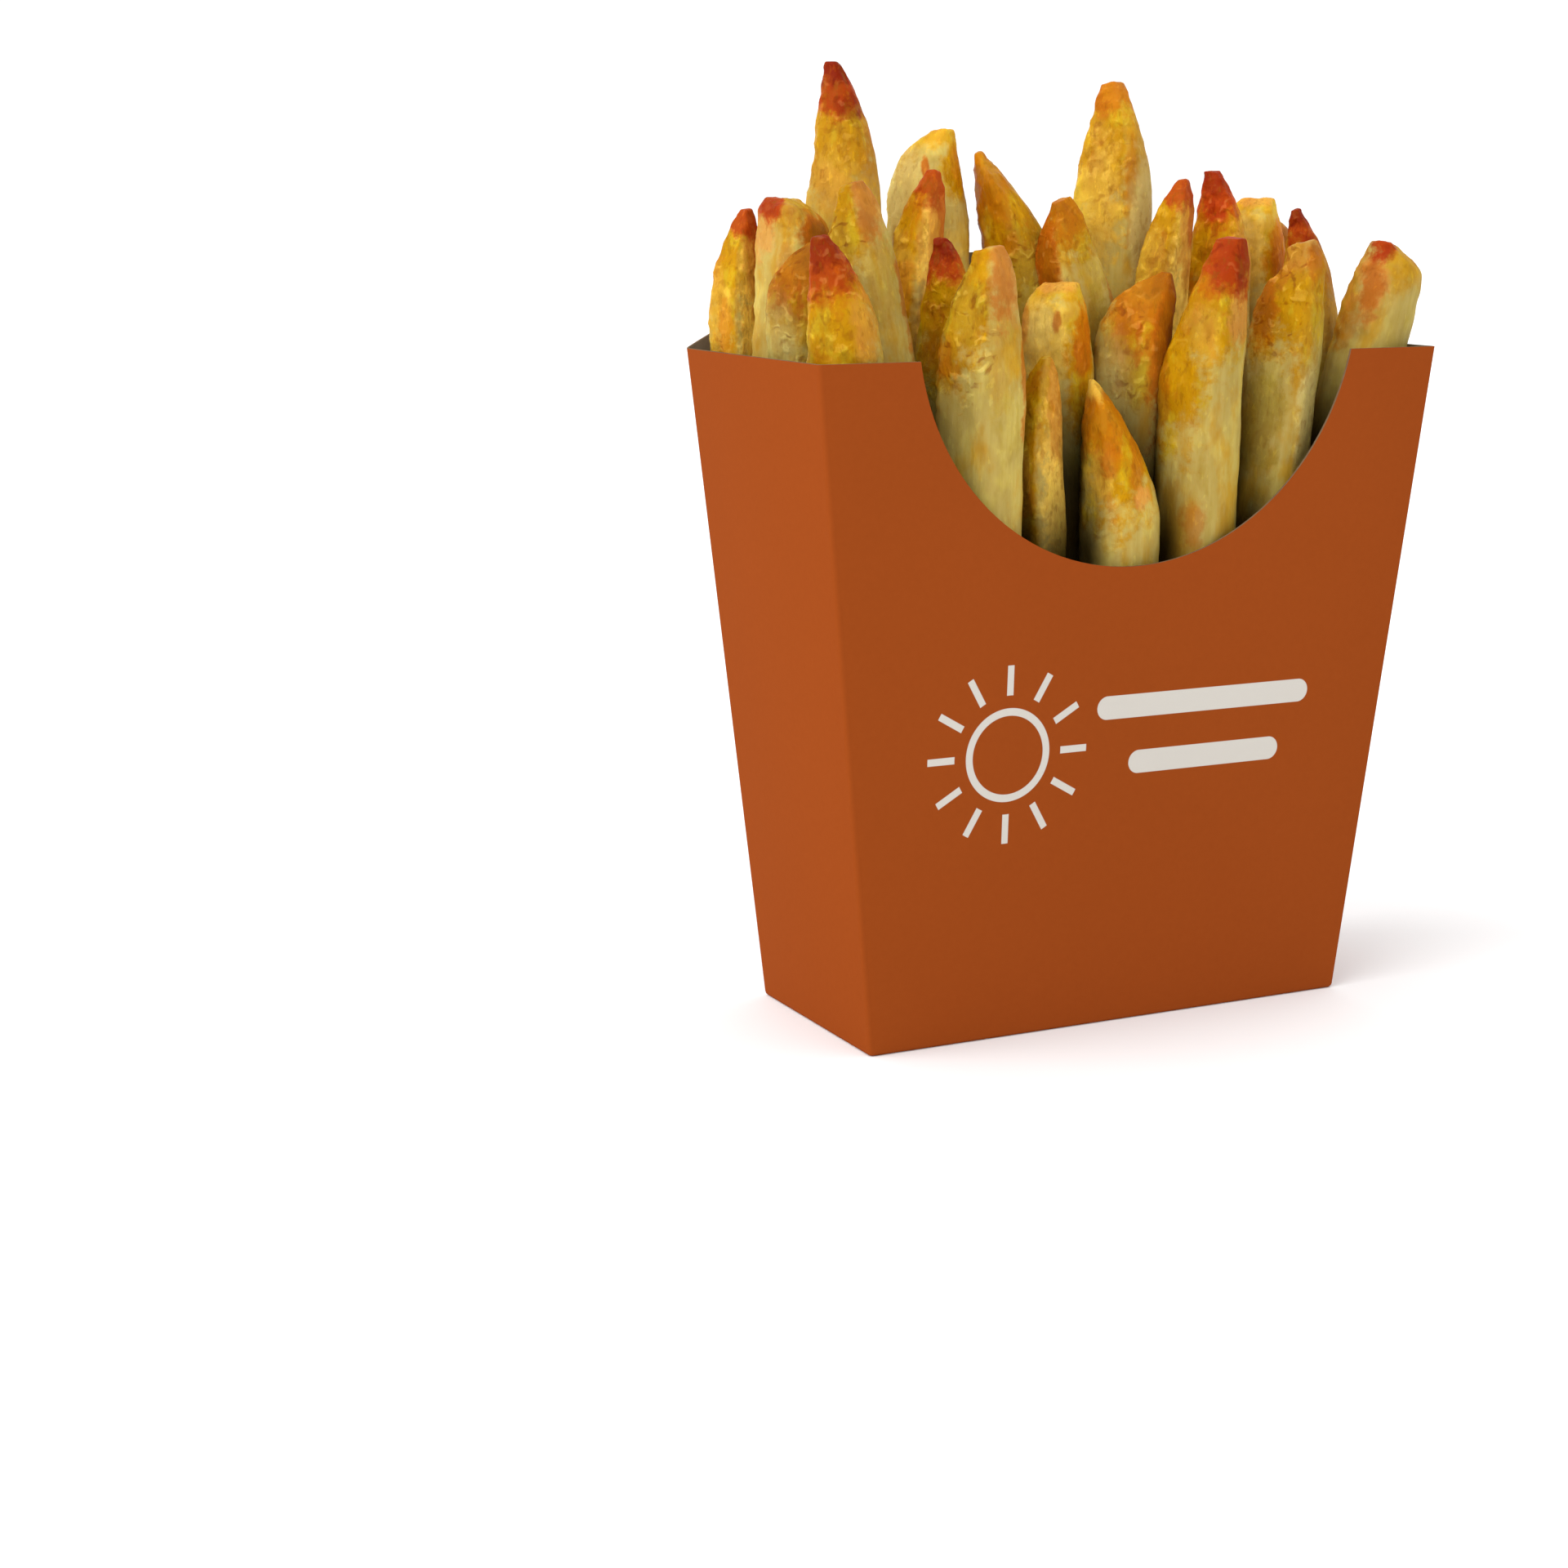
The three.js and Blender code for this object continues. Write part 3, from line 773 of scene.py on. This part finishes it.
def flake_with_painted_light(tree, kind_name, colour, place, grain, crisp):
    """Paints a highlight on the flaking crust's slopes that face the upper left and shade on those
    that face away; also gives its height.
    """
    patch = place_patch(tree, place, grain, *WRINKLED[kind_name], 0.6)
    patch = maths(tree, "MAXIMUM", patch, maths(tree, "MULTIPLY", crisp, 0.25))
    flaked = place_group(tree, FLAKED_CRUST, {"Grain": grain, "Patch": patch})
    # The painted highlight colour and the painted shade colour for the crust's slopes.
    painted_highlight_colour = vector_maths(tree, "MULTIPLY_ADD", colour, (1.25, 1.35, 1.5), (0.10, 0.08, 0.026))
    painted_shade_colour = blend_colours(tree, 1.0, colour, (0.62, 0.42, 0.4, 1), "MULTIPLY")
    colour = blend_colours(tree, maths(tree, "MULTIPLY", flaked["Painted Highlight"], 0.75), colour, painted_highlight_colour)
    colour = blend_colours(tree, maths(tree, "MULTIPLY", flaked["Painted Shade"], 0.8), colour, painted_shade_colour)
    return colour, flaked["Height"]


def fry_material(kind_name):
    """One kind's crust, from each fry's own place, side and tone attributes."""
    material, tree, shader = new_material("fried_" + kind_name)
    place = add_node(tree, "ShaderNodeAttribute", attribute_name="fry_place").outputs["Vector"]
    side = add_node(tree, "ShaderNodeAttribute", attribute_name="fry_side").outputs["Fac"]
    tone = add_node(tree, "ShaderNodeAttribute", attribute_name="fry_tone").outputs["Vector"]
    tones = add_node(tree, "ShaderNodeSeparateXYZ", {0: tone}).outputs
    redness, lightness_and_painted_light = tones["Y"], tones["Z"]
    spot = add_node(tree, "ShaderNodeTexCoord").outputs["Object"]
    grain = vector_maths(tree, "MULTIPLY_ADD", tone, (GRAIN_SPREAD, 0, 0), place)
    flesh = place_group(tree, POTATO_FLESH, {
        "Grain": grain, "Cream": CREAM, "Pale": PALE, "Gold": GOLD, "Olive": OLIVE,
    })
    golden = place_group(tree, GOLDEN_CRUST, {
        "Grain": grain, "Gold": GOLD, "Yellow": YELLOW, "Amber": AMBER,
    })["Color"]
    # The two front faces are fried differently, so some browned places stop at the ridge.
    faces = front_faces(tree, side, grain)
    colour, crisp = brown_and_paint_light(tree, kind_name, flesh["Color"], golden, place, grain, faces, redness)
    mottled = place_group(tree, CRUST_MOTTLE, {
        "Color": colour, "Grain": grain, "Crisp": crisp, "Dark": BROWN,
    })
    colour, flakes = flake_with_painted_light(tree, kind_name, mottled["Color"], place, grain, crisp)
    # How light the fry is scales its colour: partly its own frying, partly painted light that evens out how
    # brightly the rows are lit.
    colour = add_node(
        tree, "ShaderNodeVectorMath", {0: colour, "Scale": lightness_and_painted_light}, operation="SCALE"
    ).outputs[0]
    shaded = place_group(tree, DEEP_SHADE, {"Color": colour, "Shade": SHADE, "Place": spot})["Color"]
    tree.links.new(shaded, shader.inputs["Base Color"])
    tree.links.new(remap(tree, crisp, 0.0, 1.0, 0.5, 0.4), shader.inputs["Roughness"])
    height = maths(tree, "MULTIPLY", mottled["Strokes"], maths(tree, "MULTIPLY_ADD", crisp, 0.3, 0.15))
    height = maths(tree, "MULTIPLY_ADD", flesh["Fibres"], 0.2, height)
    height = maths(tree, "MULTIPLY_ADD", flakes, 0.7, height)
    bump = add_node(tree, "ShaderNodeBump", {"Height": height, "Strength": 0.6, "Distance": CRUST_BUMP})
    tree.links.new(bump.outputs[0], shader.inputs["Normal"])
    shader.inputs["Specular IOR Level"].default_value = 0.03
    shader.inputs["Subsurface Weight"].default_value = 0.2
    shader.inputs["Subsurface Radius"].default_value = (1.0, 0.5, 0.15)
    shader.inputs["Subsurface Scale"].default_value = GLOW_DEPTH
    return material


# ---- Materials of the carton and the core ----

def board_material(name, colour, fleck_colour, roughness=0.8):
    material, tree, shader = new_material(name)
    place = add_node(tree, "ShaderNodeTexCoord").outputs["Object"]
    fibres = noise(tree, place, 900.0, 3.0, 0.6)
    clouds = noise(tree, place, 22.0, 2.0, 0.5)
    mixed = maths(tree, "MULTIPLY_ADD", clouds, 0.25, maths(tree, "MULTIPLY", fibres, 0.35))
    tone = remap(tree, mixed, 0.2, 0.42)
    tree.links.new(blend_colours(tree, tone, colour, fleck_colour), shader.inputs["Base Color"])
    bump = add_node(tree, "ShaderNodeBump", {"Height": fibres, "Strength": 0.12, "Distance": BOARD_BUMP})
    tree.links.new(bump.outputs[0], shader.inputs["Normal"])
    shader.inputs["Roughness"].default_value = roughness
    shader.inputs["Specular IOR Level"].default_value = 0.01
    return material


def printed_line(tree, distance, half_width):
    """A mask that is 1 nearer than a half width, with a hair's breadth of blur."""
    return remap(tree, distance, half_width + PRINT_BLUR / 2, half_width - PRINT_BLUR / 2)


def sunburst_mask(tree, flat):
    """A ring with rays standing around it."""
    offset = vector_maths(tree, "SUBTRACT", flat, SUNBURST_MIDDLE)
    sides = add_node(tree, "ShaderNodeSeparateXYZ", {0: offset}).outputs
    radius = vector_maths(tree, "LENGTH", offset, output="Value")
    off_ring = maths(tree, "ABSOLUTE", maths(tree, "SUBTRACT", radius, SUNBURST_RING))
    ring = printed_line(tree, off_ring, LINE_WIDTH / 2)
    angle = maths(tree, "ARCTAN2", sides["Y"], sides["X"])
    half_turns = maths(tree, "MULTIPLY", angle, SUNBURST_RAYS / 2)
    swing = maths(tree, "ABSOLUTE", maths(tree, "SINE", half_turns))
    off_ray = maths(tree, "MULTIPLY", swing, maths(tree, "DIVIDE", radius, SUNBURST_RAYS / 2))
    ray = printed_line(tree, off_ray, RAY_WIDTH / 2)
    begun = remap(tree, radius, RAY_REACH[0], RAY_REACH[0] + PRINT_BLUR)
    ended = remap(tree, radius, RAY_REACH[1], RAY_REACH[1] - PRINT_BLUR)
    ray = maths(tree, "MULTIPLY", maths(tree, "MULTIPLY", ray, begun), ended)
    return maths(tree, "MAXIMUM", ring, ray)


def bar_mask(tree, flat, middle, half_length):
    """A bar with round ends."""
    offset = vector_maths(tree, "ABSOLUTE", vector_maths(tree, "SUBTRACT", flat, middle))
    past = vector_maths(tree, "SUBTRACT", offset, (half_length - BAR_RADIUS, 0, 0))
    past = vector_maths(tree, "MAXIMUM", past, (0, 0, 0))
    return printed_line(tree, vector_maths(tree, "LENGTH", past, output="Value"), BAR_RADIUS)


def front_print_group():
    """A plain sunburst and two bars, printed on the front panel: a mask."""
    tree, given, result = new_group("front_print", [("Place", "Vector")], [("Mask", "Float")])
    parts = add_node(tree, "ShaderNodeSeparateXYZ", {0: given["Place"]}).outputs
    flat = add_node(tree, "ShaderNodeCombineXYZ", {"X": parts["X"], "Y": parts["Z"]}).outputs[0]
    printed = sunburst_mask(tree, flat)
    for middle, half_length in BARS:
        printed = maths(tree, "MAXIMUM", printed, bar_mask(tree, flat, middle, half_length))
    in_front = maths(tree, "LESS_THAN", parts["Y"], -BASE_DEPTH / 2 + 2 * MM)
    tree.links.new(maths(tree, "MULTIPLY", printed, in_front), result["Mask"])
    return tree


def printed_board_material():
    """The board's outside, with the print on the front panel."""
    material = board_material("printed_board", PRINT, PRINT_FLECKS)
    tree = material.node_tree
    base = tree.nodes["Principled BSDF"].inputs["Base Color"]
    place = add_node(tree, "ShaderNodeTexCoord").outputs["Object"]
    mask = place_group(tree, front_print_group(), {"Place": place})["Mask"]
    tree.links.new(blend_colours(tree, mask, base.links[0].from_socket, WHITE_INK), base)
    return material


OUTSIDE = printed_board_material()
# The carton's inside, painted darker than the grey board's own colour as shade.
INSIDE = board_material("grey_board", UNPRINTED_AND_SHADE, UNPRINTED_AND_SHADE_FLECKS)
CUT_EDGE = board_material("cut_board", CUT_BOARD, CUT_FLECKS, roughness=0.85)


# The core is coloured near black as painted shade, mottled between two dark tones.
def core_material():
    material, tree, shader = new_material("painted_shade_potato")
    place = add_node(tree, "ShaderNodeTexCoord").outputs["Object"]
    mottle = noise(tree, place, 180.0, 3.0, 0.6)
    colour = blend_colours(tree, mottle, CORE_SHADE_DEEPER, CORE_SHADE_SOFTER)
    tree.links.new(colour, shader.inputs["Base Color"])
    shader.inputs["Roughness"].default_value = 0.7
    return material


# ---- Carton ----

def half_width_at(z):
    """Half the width of the carton's outside, at a height."""
    return (BASE_WIDTH + (RIM_WIDTH - BASE_WIDTH) * z / RIM_HEIGHT) / 2


def half_depth_at(z):
    """Half the depth of the carton's outside, at a height."""
    return (BASE_DEPTH + (RIM_DEPTH - BASE_DEPTH) * z / RIM_HEIGHT) / 2


def round_cutter(name, radius, height, depth, y, steps):
    """A cylinder that lies along the Y axis, to cut the board with."""
    start_clean()
    bpy.ops.mesh.primitive_cylinder_add(
        vertices=steps, radius=radius, depth=depth, location=(0, y, height),
        rotation=(math.pi / 2, 0, 0),
    )
    cutter = name_new(name)
    bpy.ops.object.transform_apply(location=True, rotation=True, scale=True)
    cutter.data.materials.append(CUT_EDGE)
    return cutter


def model_carton():
    start_clean()
    bpy.ops.mesh.primitive_cube_add(
        size=1, location=(0, 0, RIM_HEIGHT / 2), scale=(BASE_WIDTH, BASE_DEPTH, RIM_HEIGHT)
    )
    carton = name_new("carton_board")
    bpy.ops.object.transform_apply(location=True, rotation=True, scale=True)
    bpy.ops.object.mode_set(mode="EDIT")
    # The rim is wider than the base, and open.
    pick_faces(carton, lambda face: face.normal.z > 0.5)
    bpy.ops.transform.resize(
        value=(RIM_WIDTH / BASE_WIDTH, RIM_DEPTH / BASE_DEPTH, 1), center_override=(0, 0, RIM_HEIGHT)
    )
    bpy.ops.mesh.delete(type="ONLY_FACE")
    # The back panel goes on up, to be trimmed to its arch.
    pick_edges(carton, lambda a, b: min(a.z, b.z) > RIM_HEIGHT / 2 and min(a.y, b.y) > 0)
    rise = ARCH_RISE + TRIM_SPARE
    lean_out = (RIM_DEPTH - BASE_DEPTH) / 2 / RIM_HEIGHT * rise
    bpy.ops.mesh.extrude_region_move(TRANSFORM_OT_translate={"value": (0, lean_out, rise)})
    # The folds are slightly rounded.
    pick_edges(carton, lambda a, b: min(a.z, b.z) < MM)
    bpy.ops.mesh.bevel(offset=FOLD_RADIUS, segments=FOLD_STEPS, affect="EDGES")
    bpy.ops.mesh.select_all(action="SELECT")
    bpy.ops.mesh.normals_make_consistent(inside=False)
    bpy.ops.object.mode_set(mode="OBJECT")
    for material in (OUTSIDE, INSIDE, CUT_EDGE):
        carton.data.materials.append(material)
    apply_modifier(
        carton, "SOLIDIFY", thickness=BOARD, offset=-1, use_even_offset=True,
        material_offset=1, material_offset_rim=2,
    )
    # The back panel is trimmed to its arch, and the scoop is cut out of the front panel.
    half_chord = RIM_WIDTH / 2
    arch_radius = (half_chord ** 2 + ARCH_RISE ** 2) / (2 * ARCH_RISE) + CORNER_SPARE
    arch_height = RIM_HEIGHT + ARCH_RISE - arch_radius
    arch = round_cutter("arch_cutter", arch_radius, arch_height, 3 * RIM_DEPTH, 0, ARCH_STEPS)
    scoop = round_cutter(
        "scoop_cutter", SCOOP_RADIUS, SCOOP_CENTRE_HEIGHT, RIM_DEPTH, -RIM_DEPTH / 2, SCOOP_STEPS
    )
    for cutter, operation in ((arch, "INTERSECT"), (scoop, "DIFFERENCE")):
        apply_modifier(
            carton, "BOOLEAN", object=cutter, operation=operation, solver="EXACT", material_mode="TRANSFER"
        )
        bpy.data.objects.remove(cutter)
    make_active(carton)
    bpy.ops.object.shade_smooth_by_angle(angle=math.radians(40))
    return carton


# ---- Fries ----

def edge_at(kind, side, depth):
    """An edge's distance from the fry's middle line, at a depth below the tip."""
    left = max(1 - depth / kind["run"][side], 0)
    body = kind["body"][side]
    return body + (kind["tip"][side] - body) * left ** kind["roundness"][side]


def half_thickness_at(kind, depth):
    """The fry thins towards its tip, over the length that its left edge runs in."""
    left = max(1 - depth / kind["run"][0], 0)
    thin, thick = kind["thick"]
    return (thick + (thin - thick) * left ** 2) / 2


def ring_at(kind, depth):
    """The middle, half width and half thickness of the fry's section, in metres."""
    left, right = edge_at(kind, 0, depth), edge_at(kind, 1, depth)
    foot = 1 - FOOT_TAPER * max(0, 1 + (depth - FRY_LENGTH) / FOOT_LENGTH) ** 2
    half_width = (right - left) / 2 * foot
    half_thickness = half_thickness_at(kind, depth) * foot
    return (left + right) / 2 * MM, half_width * MM, half_thickness * MM


def model_fry(kind_name):
    """One fry of a kind, with its tip at the origin, drawn out downwards ring by ring."""
    kind = KINDS[kind_name]
    start_clean()
    bpy.ops.mesh.primitive_circle_add(vertices=4, radius=1, fill_type="NGON")
    fry = name_new("fry_" + kind_name)
    bpy.ops.object.mode_set(mode="EDIT")
    # The ridge between the two front faces is off the middle, and every corner is well rounded.
    bpy.ops.mesh.select_mode(type="VERT")
    bpy.ops.mesh.select_all(action="DESELECT")
    bpy.ops.object.mode_set(mode="OBJECT")
    for corner in fry.data.vertices:
        corner.select = corner.co.y < -0.5
    bpy.ops.object.mode_set(mode="EDIT")
    bpy.ops.transform.translate(value=(kind["ridge"], 0, 0))
    bpy.ops.mesh.select_all(action="SELECT")
    softness = kind.get("soft", USUAL_SOFTNESS)
    bpy.ops.mesh.bevel(offset=softness, segments=CORNER_STEPS, affect="VERTICES")
    bpy.ops.object.mode_set(mode="OBJECT")
    across = [corner.co.x for corner in fry.data.vertices]
    through = [corner.co.y for corner in fry.data.vertices]
    middle, half_width, half_thickness = ring_at(kind, 0)
    bpy.ops.object.mode_set(mode="EDIT")
    bpy.ops.mesh.select_all(action="SELECT")
    bpy.ops.transform.translate(
        value=(-(min(across) + max(across)) / 2, -(min(through) + max(through)) / 2, 0)
    )
    bpy.ops.transform.resize(
        value=(
            half_width * 2 / (max(across) - min(across)),
            half_thickness * 2 / (max(through) - min(through)),
            1,
        ),
        center_override=(0, 0, 0),
    )
    bpy.ops.transform.translate(value=(middle, 0, 0))
    reached = 0
    for depth in FRY_RINGS + [FRY_LENGTH]:
        wider, half_wide, half_thick = ring_at(kind, depth)
        bpy.ops.mesh.extrude_region_move(
            TRANSFORM_OT_translate={"value": (wider - middle, 0, -(depth - reached) * MM)}
        )
        bpy.ops.transform.resize(
            value=(half_wide / half_width, half_thick / half_thickness, 1),
            center_override=(wider, 0, -depth * MM),
        )
        middle, half_width, half_thickness, reached = wider, half_wide, half_thick, depth
    # The end may be cut aslant.
    pick_faces(fry, lambda face: face.center.z > -0.01 * MM)
    bpy.ops.transform.rotate(
        value=math.radians(kind.get("slant", 0)), orient_axis="Y",
        center_override=(kind["tip"][1] * MM, 0, 0),
        use_proportional_edit=True, proportional_edit_falloff="SMOOTH",
        proportional_size=SLANT_REACH * MM,
    )
    # Both ends are slightly domed.
    bpy.ops.mesh.inset(thickness=TIP_DOME * MM)
    bpy.ops.transform.translate(value=(0, 0, TIP_DOME * MM))
    pick_faces(fry, lambda face: face.center.z < (-FRY_LENGTH + 0.01) * MM)
    bpy.ops.mesh.inset(thickness=FOOT_INSET * MM)
    bpy.ops.transform.translate(value=(0, 0, -FOOT_DOME * MM))
    bpy.ops.mesh.select_all(action="SELECT")
    bpy.ops.mesh.normals_make_consistent(inside=False)
    bpy.ops.object.mode_set(mode="OBJECT")
    apply_modifier(fry, "SUBSURF", levels=2, render_levels=2)
    remember_place(fry, kind)
    weigh_wrinkles(fry, kind)
    return fry


def remember_place(fry, kind):
    """Stores each point's place on the fry, and how far right of the ridge it is. Millimetres."""
    place = fry.data.attributes.new("fry_place", "FLOAT_VECTOR", "POINT")
    for corner, value in zip(fry.data.vertices, place.data):
        value.vector = (corner.co.x / MM, corner.co.y / MM, -corner.co.z / MM)
    side = fry.data.attributes.new("fry_side", "FLOAT", "POINT")
    for corner, value in zip(fry.data.vertices, side.data):
        middle, half_width, _ = ring_at(kind, max(-corner.co.z / MM, 0))
        value.value = (corner.co.x - middle - kind["ridge"] * half_width) / MM


def weigh_wrinkles(fry, kind):
    """The left face wrinkles most, from the tip to about a third of the way down."""
    group = fry.vertex_groups.new(name="wrinkled")
    ridge = kind["ridge"] * USUAL_HALF_WIDTH
    for corner in fry.data.vertices:
        across, depth = corner.co.x / MM, -corner.co.z / MM
        left_face = 1 / (1 + math.exp((across - ridge) * WRINKLED_FACE["sharpness"]))
        along = math.exp(-((depth - WRINKLED_FACE["middle"]) / WRINKLED_FACE["reach"]) ** 2)
        near_tip = math.exp(-depth / WRINKLED_TIP["reach"])
        weight = WRINKLED_ALL_OVER + left_face * along * WRINKLED_FACE["weight"]
        weight += near_tip * WRINKLED_TIP["weight"]
        group.add([corner.index], min(1, weight), "REPLACE")


def relief_texture(name, kind, size, **settings):
    texture = bpy.data.textures.new(name, kind)
    texture.noise_scale = size
    for key, value in settings.items():
        setattr(texture, key, value)
    return texture


LUMPS = relief_texture("lumps", "CLOUDS", LUMP_SIZE * MM, noise_depth=1)
BLISTERS = relief_texture("blisters", "CLOUDS", BLISTER_SIZE * MM, noise_depth=2)
WRINKLES = relief_texture(
    "wrinkles", "MUSGRAVE", WRINKLE_SIZE * MM, musgrave_type="RIDGED_MULTIFRACTAL", octaves=2
)


def place_fry(model, across, through, tip_height, lean, size, lightness_and_painted_light, redness):
    """A copy of a fry, turned, leaned and roughened where it stands."""
    make_active(model)
    bpy.ops.object.duplicate(linked=False)
    fry = bpy.context.object
    above_rim = tip_height - RIM_HEIGHT / MM
    slope = math.tan(math.radians(lean))
    fry.location = Vector((
        across + above_rim * slope, through * (1 + above_rim * ROW_SPLAY), tip_height
    )) * MM
    along = Vector((slope, through * ROW_SPLAY, 1))
    turn = Matrix.Rotation(BROAD_SIDE_TURN, 3, "Z").to_quaternion()
    fry.rotation_mode = "QUATERNION"
    fry.rotation_quaternion = Vector((0, 0, 1)).rotation_difference(along) @ turn
    fry.scale = (size, size, size)
    bpy.ops.object.transform_apply(location=True, rotation=True, scale=True)
    tone = fry.data.attributes.new("fry_tone", "FLOAT_VECTOR", "POINT")
    shade = (dice.random(), redness, lightness_and_painted_light)
    for value in tone.data:
        value.vector = shade
    for texture, strength, mid_level, group in (
        (LUMPS, LUMP_HEIGHT * MM, 0.5, ""),
        (BLISTERS, BLISTER_HEIGHT * MM, 0.5, "wrinkled"),
        (WRINKLES, WRINKLE_HEIGHT * MM, 0.73, "wrinkled"),
    ):
        apply_modifier(
            fry, "DISPLACE", texture=texture, strength=strength, mid_level=mid_level,
            texture_coords="LOCAL", vertex_group=group,
        )
    press_inside(fry)
    return fry


def press_inside(fry):
    """Flattens the fry where it would go through the board."""
    inset = BOARD + CLEARANCE
    for corner in fry.data.vertices:
        co = corner.co
        co.y = min(co.y, half_depth_at(co.z) - inset)
        if co.z < RIM_HEIGHT + CLEARANCE:
            co.y = max(co.y, inset - half_depth_at(co.z))
            co.x = max(min(co.x, half_width_at(co.z) - inset), inset - half_width_at(co.z))
        co.z = max(co.z, inset)


def model_all_fries():
    """One piece for each kind of fry, with all its copies where they stand."""
    pieces = []
    for kind_name in KINDS:
        model = model_fry(kind_name)
        copies = [place_fry(model, *fry[1:]) for fry in FRIES if fry[0] == kind_name]
        bpy.data.objects.remove(model)
        start_clean()
        for fry in copies:
            fry.select_set(True)
        bpy.context.view_layer.objects.active = copies[0]
        if len(copies) > 1:
            bpy.ops.object.join()
        piece = name_new("fries_" + kind_name)
        bpy.ops.object.shade_smooth()
        piece.data.materials.append(fry_material(kind_name))
        pieces.append(piece)
    return pieces


def model_core():
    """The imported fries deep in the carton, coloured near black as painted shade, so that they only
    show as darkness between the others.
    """
    inset = BOARD + CLEARANCE + CORE_GAP
    low_x, low_y = half_width_at(inset) - inset, half_depth_at(inset) - inset
    high_x, high_y = half_width_at(CORE_HEIGHT) - inset, half_depth_at(CORE_HEIGHT) - inset
    start_clean()
    bpy.ops.mesh.primitive_cube_add(
        size=2, location=(0, 0, (inset + CORE_HEIGHT) / 2),
        scale=(low_x, low_y, (CORE_HEIGHT - inset) / 2),
    )
    core = name_new("fries_core")
    bpy.ops.object.transform_apply(location=True, rotation=True, scale=True)
    bpy.ops.object.mode_set(mode="EDIT")
    pick_faces(core, lambda face: face.normal.z > 0.5)
    bpy.ops.transform.resize(
        value=(high_x / low_x, high_y / low_y, 1), center_override=(0, 0, CORE_HEIGHT)
    )
    bpy.ops.mesh.select_all(action="SELECT")
    bpy.ops.mesh.bevel(offset=CORE_ROUNDING, segments=2, affect="EDGES")
    bpy.ops.object.mode_set(mode="OBJECT")
    bpy.ops.object.shade_smooth_by_angle(angle=math.radians(50))
    core.data.materials.append(core_material())
    return core


# ---- Assembly ----

carton_piece = model_carton()
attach(carton_piece, "root")
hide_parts("carton")

for fries_piece in model_all_fries():
    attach(fries_piece, "root")
    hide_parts("fries")

core_piece = model_core()
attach(core_piece, "root")

# ---- Stage ----

start_clean()
bpy.ops.mesh.primitive_plane_add(size=FLOOR_SIZE, location=(0, 0, 0))
floor = name_new("floor")
floor_paint, _, floor_shader = new_material("pale_floor")
floor_shader.inputs["Base Color"].default_value = (0.9, 0.9, 0.9, 1)
floor_shader.inputs["Roughness"].default_value = 0.9
floor_shader.inputs["Specular IOR Level"].default_value = 0.1
floor.data.materials.append(floor_paint)

scene.view_settings.view_transform = "Standard"
world = bpy.data.worlds.new("soft_studio")
world.use_nodes = True
world.node_tree.nodes["Background"].inputs["Color"].default_value = (1, 1, 1, 1)
world.node_tree.nodes["Background"].inputs["Strength"].default_value = ROOM_LIGHT
scene.world = world

sun = bpy.data.lights.new("key", "SUN")
sun.energy = KEY_LIGHT["strength"]
sun.angle = math.radians(KEY_LIGHT["spread"])
key_light = bpy.data.objects.new("key", sun)
key_light.rotation_euler = (math.radians(90 - KEY_LIGHT["height"]), 0, math.radians(KEY_LIGHT["turn"]))
scene.collection.objects.link(key_light)

lens = bpy.data.cameras.new("camera")
lens.lens = LENS_LENGTH
lens.sensor_width = 36
lens.clip_start = 0.01
camera = bpy.data.objects.new("camera", lens)
camera.location = CAMERA_PLACE
camera.rotation_euler = (math.radians(CAMERA_TILT), 0, math.radians(CAMERA_TURN))
scene.collection.objects.link(camera)
scene.camera = camera
